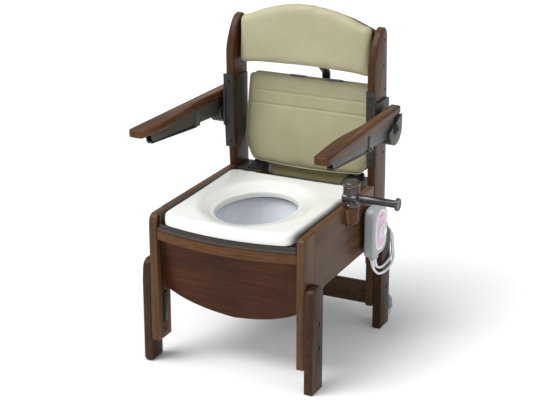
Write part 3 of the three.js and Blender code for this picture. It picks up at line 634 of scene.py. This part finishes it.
# timber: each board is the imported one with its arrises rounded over
timber = {
    "arris": 4.2, "legArris": 8.0, "armArris": 5.0, "segments": 4,
    "holeReach": 8.0, "pinReach": 12.0,  # edges this near a hole's axis are left sharp
    "row": {"front": 33, "rear": 447}, "firstHole": 77, "pitch": 30, "holes": 4,
}


def clearOfHoles(row, pin=False):
    axes = [(at(0, timber["row"][row], timber["firstHole"] + timber["pitch"] * i), timber["holeReach"])
            for i in range(timber["holes"])]
    if pin:
        axes.append((at(0, 428, 527), timber["pinReach"]))
    return lambda point: all(math.hypot(point.y - p.y, point.z - p.z) >= reach / 1000 for p, reach in axes)


def titled(node):
    return node.replace("_", " ").title().replace(" ", "")


def board(node, width, material, slotName, keep=None, body="chair"):
    obj = copyOf(node, titled(node))
    bevelEdges(obj, width, timber["segments"], 32, keep)
    return finish(obj, material, body, [node], 34)


for side in sides:
    board(f"post_{side}", timber["arris"] + 0.8, "post", "walnut", clearOfHoles("rear", pin=True))
    board(f"front_stile_{side}", timber["arris"], "stile", "pale_walnut", clearOfHoles("front"))
    board(f"side_panel_{side}", 1.2, "side", "walnut")
    for where in timber["row"]:
        # the legs take the darker walnut copy: painted shade
        board(f"leg_{where}_{side}", timber["legArris"], "leg", "walnut", clearOfHoles(where))
    board(f"armrest_{side}", timber["armArris"], "arm", "walnut", body=f"armrest_{side}")
for row in (("front_rail", 1.0, "rail", "pale_walnut"), ("front_panel", 1.0, "front", "red_walnut"),
            ("rear_rail", 2.0, "cross", "walnut"), ("rear_stretcher", 2.0, "cross", "walnut"),
            ("backrest_board", 1.6, "cross", "walnut")):
    board(*row)
print("timber done")


# toilet seat: a glossy shell dished round its opening
seat = {
    "points": 128, "middleY": 165, "openX": 93, "openY": 120, "top": 386, "knuckleY": 371.4,
    "dish": [  # outwards from the opening's edge, and the height there
        (0.6, 359), (0.2, 364), (0, 369), (0.8, 371.8), (3.2, 373.8), (7, 374.8), (12, 375.6), (18, 377.1),
        (25, 379.6), (32, 382.4), (38, 384.4), (44, 385.6), (50, 386),
    ],
    "rim": [  # inwards from the outline, and the height there
        (14, 386), (9, 385.8), (5.5, 384.8), (2.8, 382.6), (1.0, 379), (0.2, 373), (0, 366), (0.1, 359.6),
        (1.0, 358.2), (3.0, 358.2), (4.4, 359.6), (4.8, 366), (6.5, 375), (12, 379.5), (20, 380),
    ],
    "under": [(14, 378), (8, 372), (5.2, 366), (4.6, 359.6)],  # back to the opening along the underside
    "notchX": -46, "notchHalf": 32, "notchDeep": 3.0,
}


def seatEdge():  # the outline as a closed run of points, in the chair's millimetres
    half, front, rear = 166, 0, 371
    right = [((half - 26, front - 3), (half - 1, front + 2), (half, front + 26)),
             ((half, front + 26), (half + 3, 190), (half + 5.6, rear - 14)),
             ((half + 5.6, rear - 14), (half + 6, rear), (half - 8, rear))]
    return bends([((-half + 26, front - 3), (0, front - 38), (half - 26, front - 3)), *right,
                  ((half - 8, rear), (0, rear), (-half + 8, rear)), *mirrored(right)], 24)


def rayOut(outline, centre, angle):  # how far the outline is from the centre in one direction
    dx, dy = math.cos(angle), math.sin(angle)
    best = 0
    for (x0, y0), (x1, y1) in zip(outline, outline[1:] + outline[:1]):
        ex, ey = x1 - x0, y1 - y0
        cross = dx * ey - dy * ex
        if abs(cross) < 1e-9:
            continue
        t = ((x0 - centre[0]) * ey - (y0 - centre[1]) * ex) / cross
        s = ((x0 - centre[0]) * dy - (y0 - centre[1]) * dx) / cross
        if t > 0 and -1e-6 <= s <= 1 + 1e-6:
            best = max(best, t)
    return best


def makeSeat():
    outline = seatEdge()
    centre = (0, seat["middleY"])
    count = seat["points"]
    angles = []
    for i in range(count):  # closer together near the corners
        a = 2 * math.pi * i / count
        angles.append(a + 0.12 * math.sin(4 * a))
    far = [rayOut(outline, centre, a) for a in angles]

    def opening(a, out):
        return 1 / math.hypot(math.cos(a) / (seat["openX"] + out), math.sin(a) / (seat["openY"] + out))

    def notch(x, inset):
        along = abs(x - seat["notchX"]) / seat["notchHalf"]
        return seat["notchDeep"] * (1 - along ** 4) if along < 1 and inset < 10 else 0

    def ring(reach, z, inset=None):  # reach gives the radius from a direction and the outline's distance
        points = []
        for a, edge in zip(angles, far):
            r = reach(a, edge)
            x = r * math.cos(a)
            drop = notch(x, inset) if inset is not None and math.sin(a) < -0.6 and z > 370 else 0
            points.append(at(x, centre[1] + r * math.sin(a), z - drop))
        return points

    def across(a, edge, share):
        near = min(opening(a, 50), edge - 16)
        return near + (edge - 14 - near) * share

    rings = [ring(lambda a, edge: min(opening(a, out), edge - 16), z) for out, z in seat["dish"]]
    rings += [ring(lambda a, edge: across(a, edge, share), seat["top"]) for share in (0.33, 0.66)]
    rings += [ring(lambda a, edge: edge - inset, z, inset) for inset, z in seat["rim"]]
    rings += [ring(lambda a, edge: opening(a, out), z) for out, z in seat["under"]]
    rings.append(rings[0])
    shell = loftRings("seatShell", rings, closed=True)
    finish(shell, "ivory", "seat", ["toilet_seat"], 60)


makeSeat()
knuckles = copyOf("toilet_seat", "seatKnuckles")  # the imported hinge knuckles, cut off behind the shell
editAll(knuckles)
bpy.ops.mesh.bisect(plane_co=at(0, seat["knuckleY"], 0), plane_no=(0, 1, 0), clear_inner=True, use_fill=True)
leaveEdit()
finish(bevelEdges(knuckles, 0.8, 2, 32), "ivory", "seat")
print("seat done")


# bucket with its rolled rim and wire bail
bucket = {
    "points": 96, "stretch": 1.14, "middleY": 165,
    "wall": [(0.5, 178.5), (60, 178.4), (80, 178.6), (86.5, 180), (90.5, 183), (93, 188), (98, 215), (107, 268),
             (116, 322), (119, 340), (121, 346), (124, 348.8), (130, 349), (132.4, 349.6), (133, 351),
             (132.2, 352.4), (129, 352.8), (122, 352.7), (118.5, 351.5), (116.4, 348), (114, 338), (111, 320),
             (102, 268), (93, 215), (88, 191), (85, 186), (80, 183.6), (70, 182.6), (30, 182.2), (0.5, 182.2)],
}
middle = at(0, bucket["middleY"], 0)
rings = [circle(middle + Vector((0, 0, z / 1000)), r / 1000, (0, 0, 1), bucket["points"])
         for r, z in bucket["wall"]]
for ring in rings:
    for point in ring:
        point.y = middle.y + (point.y - middle.y) * bucket["stretch"]
finish(loftRings("bucketShell", rings), "lavender", "chair", ["bucket"],
       50)
finish(bevelEdges(copyOf("bucket_handle", "bucketBail"), 0.1, 1, 80), "zinc", "chair",
       ["bucket_handle"], 70)


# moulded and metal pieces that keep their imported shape, with broken edges
def trimmed(node, width, material, slotName, body="chair", sharp=32):
    obj = bevelEdges(copyOf(node, titled(node)), width, 2, sharp)
    return finish(obj, material, body, [node], 36)


arms = {
    "slimTo": 200, "slimUnder": 0.5467, "lugTo": 300, "lugUnder": 0.5125,  # the beam's lowest height
    "grip": 268, "gripFront": 58, "gripLong": 224, "gripUnder": 0.5149, "gripRise": 0.006, "gripLift": 0.008,
    "tipY": 80, "tipFront": 62, "tipStart": 46, "tipShare": 0.53, "leverX": 230, "leverWidth": 0.93,
    "cheeks": (221.4, 237), "cheekWall": 1.6, "cheekTop": 555.7,
    "cheek": [(60, 0.2), (398, 0.2), (398, 44), (282, 36.5), (70, 22.5), (63, 15)],  # along, and below the top
    "hingeFoot": 0.3802, "hingeFootY": 453.5,
}


def slimBeam(obj):  # thinner towards its front end
    for v in obj.data.vertices:
        y = (v.co.y - frontY) * 1000
        if y < arms["lugTo"]:
            v.co.z = max(v.co.z, arms["slimUnder"] if y < arms["slimTo"] else arms["lugUnder"])


def slimLever(obj, middle):  # slimmer and closer to the wood towards the hand
    for v in obj.data.vertices:
        y = (v.co.y - frontY) * 1000
        if y < arms["grip"]:
            forward = 1 - max(0.0, min(1.0, (y - arms["gripFront"]) / arms["gripLong"]))
            under = arms["gripUnder"] + arms["gripRise"] * forward
            if v.co.z < under:
                v.co.z = under + (v.co.z - under) * 0.1
            v.co.z += arms["gripLift"] * forward
        if y < arms["tipY"]:
            v.co.y = frontY + (arms["tipFront"] + (y - arms["tipStart"]) * arms["tipShare"]) / 1000
        v.co.x = middle + (v.co.x - middle) * arms["leverWidth"]


for row in (("tray", 1.0, "tray", "tray_plastic"), ("heater_gland", 1.2, "black", "black_plastic"),
            ("lid_stop", 0.9, "black", "black_plastic"), ("controller_hanger", 1.2, "bracket", "bracket_grey"),
            ("controller_gland", 1.6, "case", "case_grey")):
    trimmed(*row)
for lid in ("front", "rear"):
    # the lid boards take the darker vinyl copy: painted shade
    trimmed(f"lid_{lid}_board", 0.7, "vinylShaded", "vinyl", f"lid_{lid}")
for side, sign in sides.items():
    armrest = f"armrest_{side}"
    base = trimmed(f"lid_hinge_base_{side}", 1.4, "black", "black_plastic")
    for v in base.data.vertices:  # its front foot is low and flat
        if v.co.y < at(0, arms["hingeFootY"], 0).y:
            v.co.z = min(v.co.z, arms["hingeFoot"])
    for piece in ("bracket", "pin"):
        trimmed(f"arm_{piece}_{side}", 0.8, "bracket", "bracket_grey")
    slimBeam(trimmed(f"arm_beam_{side}", 0.7, "beam", "beam_grey", armrest))
    lever = trimmed(f"arm_lever_{side}", 1.6, "black", "black_plastic", f"arm_lever_{side}")
    slimLever(lever, at(arms["leverX"] * sign, 0, 0).x)
    cheeks = [loftRings(f"cheek{x}", [[at(sign * wall, y, arms["cheekTop"] - z) for y, z in arms["cheek"]]
                                      for wall in (x, x + arms["cheekWall"])]) for x in arms["cheeks"]]
    finish(joined(f"beamCheeks{side.title()}", [bevelEdges(cheek, 0.4, 2) for cheek in cheeks]), "beam",
           armrest)
    for place in ("front", "rear"):
        trimmed(f"fold_leaf_{place}_{side}", 0.25, "hinge", "hinge_metal", f"lid_{place}")
        trimmed(f"leg_bolts_{place}_{side}", 0.5, "screw", "zinc")
print("fittings done")


# screws and cover caps
fasteners = {
    "screw": [(3.4, 0), (3.3, 0.7), (2.6, 1.3), (1.5, 1.6), (1.3, 1.5), (1.25, 0.5), (0.2, 0.45)],
    "cap": [(4.2, -0.3), (4.2, 0.25), (3.7, 0.6), (2.2, 0.8), (0.2, 0.85)],
    "pin": [(7, 0), (6.8, 1.2), (5.6, 2.2), (3, 2.4), (2.8, 1.1), (0.2, 1)],
    "plateX": 190, "plate": [(391.2, 604), (401.6, 446)],  # places as y and z
    "coverX": 200, "covers": [(456, 736), (452, 673), (466, 612), (464, 452)],
    "pinPlace": (250, 428, 527), "leverPlace": (241, 282, 516.7),
}


def fixings(name, kind, places, axis, material, body):
    heads = [turned(f"{name}{i}", fasteners[kind], at(*place), axis, 20) for i, place in enumerate(places)]
    finish(joined(name, heads), material, body, angle=32)


for side, sign in sides.items():
    outward, end = (sign, 0, 0), side.title()
    fixings(f"plateScrews{end}", "screw", [(sign * fasteners["plateX"], *place) for place in fasteners["plate"]],
            (0, -1, 0), "screw", "chair")
    fixings(f"coverCaps{end}", "cap", [(sign * fasteners["coverX"], *place) for place in fasteners["covers"]],
            outward, "black", "chair")
    for name, kind, (x, y, z), body, slotName in (
            ("pinHead", "pin", fasteners["pinPlace"], "chair", "bracket_grey"),
            ("leverScrew", "screw", fasteners["leverPlace"], f"armrest_{side}", "beam_grey")):
        fixings(name + end, kind, [(sign * x, y, z)], outward, "screw", body)


# padded pieces: swollen under pressure, then sewn
pads = {
    "hingeY": 462, "hingeZ": 384.5, "lean": -4, "panel": 232,
    "flare": 0.03, "voxel": 0.0045, "frames": 18, "pressure": 4.0,
    "seamZ": (188, 154), "seamWide": 4.6, "seamDeep": 2.4, "weltHalf": 171.1, "weltRadius": 1.9,
    "welts": [("lidFrontWelt", -0.6, -13.4, "lid_front"), ("lidRearWelt", 2.9, 13.4, "lid_rear")],
}
lidPlace = (Matrix.Translation(at(0, pads["hingeY"], pads["hingeZ"]))
            @ Matrix.Rotation(math.radians(pads["lean"]), 4, "X"))
backPlace = Matrix.Translation(at(0, 446.7, 700))


def swell(name, node, place, side, squeeze, cap):
    # side is +1 where the pad's fixed back looks along its own +Y, -1 where it looks along -Y
    obj = copyOf(node, name)
    obj.data.transform(place.inverted())
    points = obj.data.vertices
    low = [min(v.co[k] for v in points) for k in range(3)]
    high = [max(v.co[k] for v in points) for k in range(3)]
    for k in (0, 2):
        half, centre = (high[k] - low[k]) / 2, (high[k] + low[k]) / 2
        for v in points:
            v.co[k] = centre + (v.co[k] - centre) * (1 - squeeze / 1000 / half)
    back = high[1] if side > 0 else low[1]
    remesh = obj.modifiers.new("remesh", "REMESH")
    remesh.mode = "VOXEL"
    remesh.voxel_size = pads["voxel"]
    applyAll(obj)
    rest = [v.co.copy() for v in obj.data.vertices]
    cloth = obj.modifiers.new("cloth", "CLOTH")
    cloth.settings.quality = 5
    cloth.settings.use_pressure = True
    cloth.settings.uniform_pressure_force = pads["pressure"]
    cloth.settings.effector_weights.gravity = 0
    cloth.point_cache.frame_start = 1
    cloth.point_cache.frame_end = pads["frames"]
    for step in range(1, pads["frames"] + 1):
        scene.frame_set(step)
    applyAll(obj)
    scene.frame_set(1)
    for v, start in zip(obj.data.vertices, rest):
        move = v.co - start
        if move.length > cap / 1000:
            v.co = start + move.normalized() * (cap / 1000)
        if (v.co.y - back) * side > 0:  # flat where it lies on its board
            v.co.y = back
    edit(obj)
    bpy.ops.mesh.select_all(action="SELECT")
    bpy.ops.mesh.vertices_smooth(factor=0.5, repeat=3)
    leaveEdit()
    obj.modifiers.new("finer", "SUBSURF").levels = 1
    obj.modifiers["finer"].render_levels = 1
    applyAll(obj)
    points = obj.data.vertices
    for k in (0, 2):  # the pressure draws the sides in, so the pad is eased out to its board again
        near, far = min(v.co[k] for v in points), max(v.co[k] for v in points)
        size = (high[k] - low[k] - 0.0008) / (far - near)
        for v in points:
            v.co[k] = low[k] + 0.0004 + (v.co[k] - near) * size
    return obj


def pressLine(obj, height, side):  # a sewn line drawn down into the pad's face
    wide, deep = pads["seamWide"], pads["seamDeep"]
    for v in obj.data.vertices:
        face = v.normal.y * side
        if face > -0.2:
            continue
        d = abs(v.co.z - height) * 1000
        if d < wide:
            v.co.y += side * deep / 1000 * (0.5 + 0.5 * math.cos(math.pi * d / wide)) * min(1, -face * 1.5)


def lidOutline(half, z0, z1):
    shoulder, corner, knee = z0 + 68, z0 + 20, z0 + 6.5
    right = [((half - 32, knee), (half - 21, z0 + 8), (half - 16, corner)),
             ((half - 16, corner), (half - 1, z0 + 50), (half, shoulder)),
             ((half, shoulder), (half - 5.5, (shoulder + z1 - 12) / 2), (half - 11, z1 - 12)),
             ((half - 11, z1 - 12), (half - 12, z1), (half - 24, z1))]
    return bends([((-half + 32, knee), (0, z0 - 6.5), (half - 32, knee)), *right,
                  ((half - 24, z1), (0, z1), (-half + 24, z1)), *mirrored(right)], 14)


def flare(x, z):  # the panels keep more of their width towards the fold than their boards do
    return x / 1000 * (1 + pads["flare"] * z / pads["panel"])


def welt(name, outline, depth, radius, place):
    loop = [place @ Vector((flare(x, z), depth / 1000, z / 1000)) for x, z in outline]
    path = evenly([*loop, loop[0]], 0.003)
    return tube(name, path, radius / 1000, smooth=3)


def sewn(name, node, place, side, squeeze, cap, body, seams=(), flared=True):
    pad = swell(name, node, place, side, squeeze, cap)
    for z in seams:
        pressLine(pad, z / 1000, side)
    for v in pad.data.vertices if flared else ():
        v.co.x = flare(v.co.x * 1000, v.co.z * 1000)
    pad.data.transform(place)
    finish(pad, "vinyl", body, [node], 0)
    activate(pad)
    bpy.ops.object.shade_smooth()


sewn("lidFrontPad", "lid_front_pad", lidPlace, 1, 0.6, 3.4, "lid_front", pads["seamZ"])
sewn("lidRearPad", "lid_rear_pad", lidPlace, -1, 0.6, 3.4, "lid_rear")
sewn("backrestPad", "backrest_pad", backPlace, 1, 3.5, 5.5, "chair", flared=False)
for name, low, depth, body in pads["welts"]:
    outline = lidOutline(pads["weltHalf"], low, pads["panel"] - 4)
    finish(welt(name, outline, depth, pads["weltRadius"], lidPlace), "welt", body, angle=60)
print("pads done")


# paper holder: wooden sleeve, ribbed gunmetal body, bar with an end flange
holder = {
    "x": 205, "y": 254, "barZ": 402, "ribs": 14, "flute": 1.5, "hollow": (2, 3, 4, 5, 6),
    "sleeve": [(0.3, 337), (9, 337), (14, 338.4), (17.4, 341.6), (18.6, 346), (18.8, 352), (18.8, 377), (18.2, 379.2),
               (16.6, 380.2), (8.6, 380.2)],
    "saddle": [(0.3, -18.6), (8.4, -18.4), (10.6, -17.6), (11.6, -16), (11.8, -14), (11.8, 17), (11.2, 19), (9.4, 20)],
    "body": [  # radius, height and whether it is ribbed there
        (8.6, 381, 0), (18.6, 380.7, 0), (20, 381.8, 0), (20, 387.5, 0), (20, 389, 1), (20, 426, 1),
        (20, 427.5, 0), (20, 429.6, 0), (19, 430.6, 0), (18.4, 431, 0), (18.4, 434.4, 0)],
    "ring": [(17, 434), (20.6, 434.4), (20.9, 435.2), (20.6, 436), (17, 436.3)],
    "cap": [(18.4, 436), (20.9, 436.4), (21.5, 437.4), (21.3, 439.6), (20, 441.4), (18, 442.2), (16.8, 442.2),
            (16.2, 441.4), (15.4, 441.4), (14.8, 442.4), (9, 442.8), (0.3, 443)],
    "bar": [(8.6, 14), (9.3, 15), (9.3, 18), (10.3, 19.4), (10.3, 21.6), (9.3, 22.8), (9.3, 108), (9.3, 112.2),
            (14.6, 113), (15.4, 114), (15.5, 118.4), (14.9, 119.6), (13.4, 120), (11.6, 119.4), (0.3, 119)],
}
trimmed("holder_socket", 2.0, "arm", "walnut")
post = at(holder["x"], holder["y"], 0)
upright, along = (0, 0, 1), (1, 0, 0)
finish(turned("holderSleeve", holder["sleeve"], post, upright), "arm", "chair")
saddle = turned("holderSaddle", holder["saddle"], at(holder["x"], holder["y"] - 8.6, holder["barZ"]), along)
finish(saddle, "gunmetal", "paper_holder", angle=34)
bodyRings = []
for radius, height, ribbed in holder["body"]:
    ring = []
    for i in range(holder["ribs"] * 8):
        a = 2 * math.pi * i / (holder["ribs"] * 8)
        hollow = holder["flute"] if ribbed and i % 8 in holder["hollow"] else 0
        ring.append(post + Vector((math.cos(a), math.sin(a), 0)) * ((radius - hollow) / 1000)
                    + Vector((0, 0, height / 1000)))
    bodyRings.append(ring)
finish(loftRings("holderBody", bodyRings), "gunmetal", "paper_holder", ["holder_body"], 30)
finish(turned("holderRing", holder["ring"], post, upright, 48), "copper", "paper_holder",
       angle=50)
finish(turned("holderCap", holder["cap"], post, upright, 48), "gunmetal", "paper_holder",
       angle=34)
bar = turned("holderBar", holder["bar"], at(holder["x"], holder["y"], holder["barZ"]), along)
finish(bar, "gunmetal", "paper_holder", ["holder_bar"], 34)


# heated-seat controller: case, label plate with its ticks, dial
panel = {
    "face": 237, "middleY": 366, "middleZ": 288, "halfY": 34, "halfZ": 51, "dialY": 370, "dialZ": 284,
    "ticks": 11, "warmFrom": 7, "firstTick": 215, "lastTick": -35, "tickIn": 20.5, "tickOut": 24.5,
    "rim": [(236.7, 0), (237.6, 0), (238, -0.7), (238, -3.6), (237.5, -4.4)],  # x, and how far it grows
    "plate": [(237.3, -6), (237.9, -6), (238.05, -6.6)],
    "lamp": [(1.8, -0.2), (1.8, 0.4), (1.2, 0.9), (0.2, 1)], "lampY": (358, 366, 374), "lampZ": 324,
    "dial": [(16.4, 0.5), (17, 1), (17, 2.8), (16.4, 3.8), (14, 4.5), (12, 4.9), (11.4, 5.6), (11.1, 9.4),
             (10.5, 10.5), (9.4, 10.9), (0.3, 10.7)],
    "ridges": 28,
}
case = bevelEdges(copyOf("controller_case", "controllerCase"), 1.8, 3, 20)
finish(case, "case", "chair", ["controller_case"], 40)


def roundedRing(x, grow):
    return [at(x, panel["middleY"] + (panel["halfY"] + grow) * c, panel["middleZ"] + (panel["halfZ"] + grow) * s)
            for c, s in squared(64, 0.75)]


for name, shape, material in (("faceRim", "rim", "rim"), ("labelPlate", "plate", "label")):
    piece = loftRings(name, [roundedRing(*level) for level in panel[shape]])
    finish(piece, material, "chair")


def tickMarks(name, first, last, material):
    marks = []
    for i in range(first, last):
        turn = math.radians(panel["firstTick"] + (panel["lastTick"] - panel["firstTick"]) * i / (panel["ticks"] - 1))
        mark = block(f"{name}{i}", Vector((-0.00015, panel["tickIn"] / 1000, -0.0007)),
                     Vector((0.00025, panel["tickOut"] / 1000, 0.0007)), 0.15, 1)
        mark.data.transform(Matrix.Rotation(turn, 4, "X"))
        mark.data.transform(Matrix.Translation(at(238, panel["dialY"], panel["dialZ"])))
        marks.append(mark)
    return finish(joined(name, marks), material, "chair")


tickMarks("dialTicks", 0, panel["warmFrom"], "labelMark")
tickMarks("warmTicks", panel["warmFrom"], panel["ticks"], "warmMark")
lamps = [turned(f"lamp{i}", panel["lamp"], at(238, y, panel["lampZ"]), along, 20)
         for i, y in enumerate(panel["lampY"])]
finish(joined("statusLamps", lamps), "warmMark", "chair")
dialPlace = at(panel["face"], panel["dialY"], panel["dialZ"])
dialPieces = [turned("dialBody", panel["dial"], dialPlace, along, 48)]
for i in range(panel["ridges"]):
    ridge = block(f"ridge{i}", Vector((0.0055, 0.0107, -0.0004)), Vector((0.0098, 0.0116, 0.0004)), 0.2, 1)
    ridge.data.transform(Matrix.Rotation(2 * math.pi * i / panel["ridges"], 4, "X"))
    ridge.data.transform(Matrix.Translation(dialPlace))
    dialPieces.append(ridge)
finish(joined("controllerDial", dialPieces), "dial", "dial", ["controller_dial"], 40)
pointer = block("dialPointer", dialPlace + Vector((0.0104, -0.0006, 0.003)),
                dialPlace + Vector((0.0109, 0.0006, 0.0095)), 0.2, 1)
finish(pointer, "labelMark", "dial")
print("controller done")


# floor, light and camera
studio = {
    "floorSize": 30, "floorTone": (0.93, 0.93, 0.93),
    "worldTone": (0.97, 0.985, 1.0), "worldPower": 0.5, "backdropPower": 1.05,
    "sunPower": 2.25, "sunSpread": 40, "sunTilt": (26, -14, -14),
    "lights": [  # name, place, aimed at, size, watts
        ("key", (-1.9, -2.4, 3.9), (0, 0, 0.35), 1.9, 30),
        ("front", (0.9, -4.4, 1.9), (0, 0, 0.4), 2.2, 8),
        ("right", (3.4, 0.2, 3.0), (0, 0, 0.4), 1.6, 24),
    ],
    "eye": (1.4644, -3.0907, 1.5925), "tilt": (70.343, 0.09, 26.086), "lens": 102.1,
}
bpy.ops.mesh.primitive_plane_add(size=studio["floorSize"], location=(0, 0, 0))
floor = bpy.context.object
floor.name = "floor"
paper = bpy.data.materials.new("palePaper")
paper.use_nodes = True
paperShader = paper.node_tree.nodes["Principled BSDF"]
paperShader.inputs["Base Color"].default_value = (*studio["floorTone"], 1)
paperShader.inputs["Roughness"].default_value = 0.85
floor.data.materials.append(paper)

scene.world = bpy.data.worlds.new("studio")
scene.world.use_nodes = True
sky = scene.world.node_tree.nodes["Background"]
sky.inputs["Color"].default_value = (*studio["worldTone"], 1)
sky.inputs["Strength"].default_value = studio["worldPower"]
worldWires = Wires(scene.world.node_tree)
backdrop = worldWires.add("ShaderNodeBackground", None, Color=(1, 1, 1, 1), Strength=studio["backdropPower"])
seen = worldWires.add("ShaderNodeLightPath").outputs["Is Camera Ray"]
blend = worldWires.add("ShaderNodeMixShader", None, i0=seen, i1=sky.outputs[0], i2=backdrop.outputs[0])
scene.world.node_tree.links.new(blend.outputs[0], scene.world.node_tree.nodes["World Output"].inputs[0])
for name, place, aim, size, watts in studio["lights"]:
    lamp = bpy.data.lights.new(name, "AREA")
    lamp.size = size
    lamp.energy = watts
    hung = put(name, lamp)
    hung.location = place
    hung.rotation_euler = (Vector(aim) - Vector(place)).to_track_quat("-Z", "Y").to_euler()
sun = bpy.data.lights.new("softSun", "SUN")
sun.energy = studio["sunPower"]
sun.angle = math.radians(studio["sunSpread"])
put("softSun", sun).rotation_euler = [math.radians(a) for a in studio["sunTilt"]]
camera = bpy.data.cameras.new("camera")
camera.lens = studio["lens"]
camera.sensor_width = 36
camera.clip_end = 60
eye = put("camera", camera)
eye.location = studio["eye"]
eye.rotation_euler = [math.radians(a) for a in studio["tilt"]]
scene.camera = eye
scene.view_settings.view_transform = "Standard"
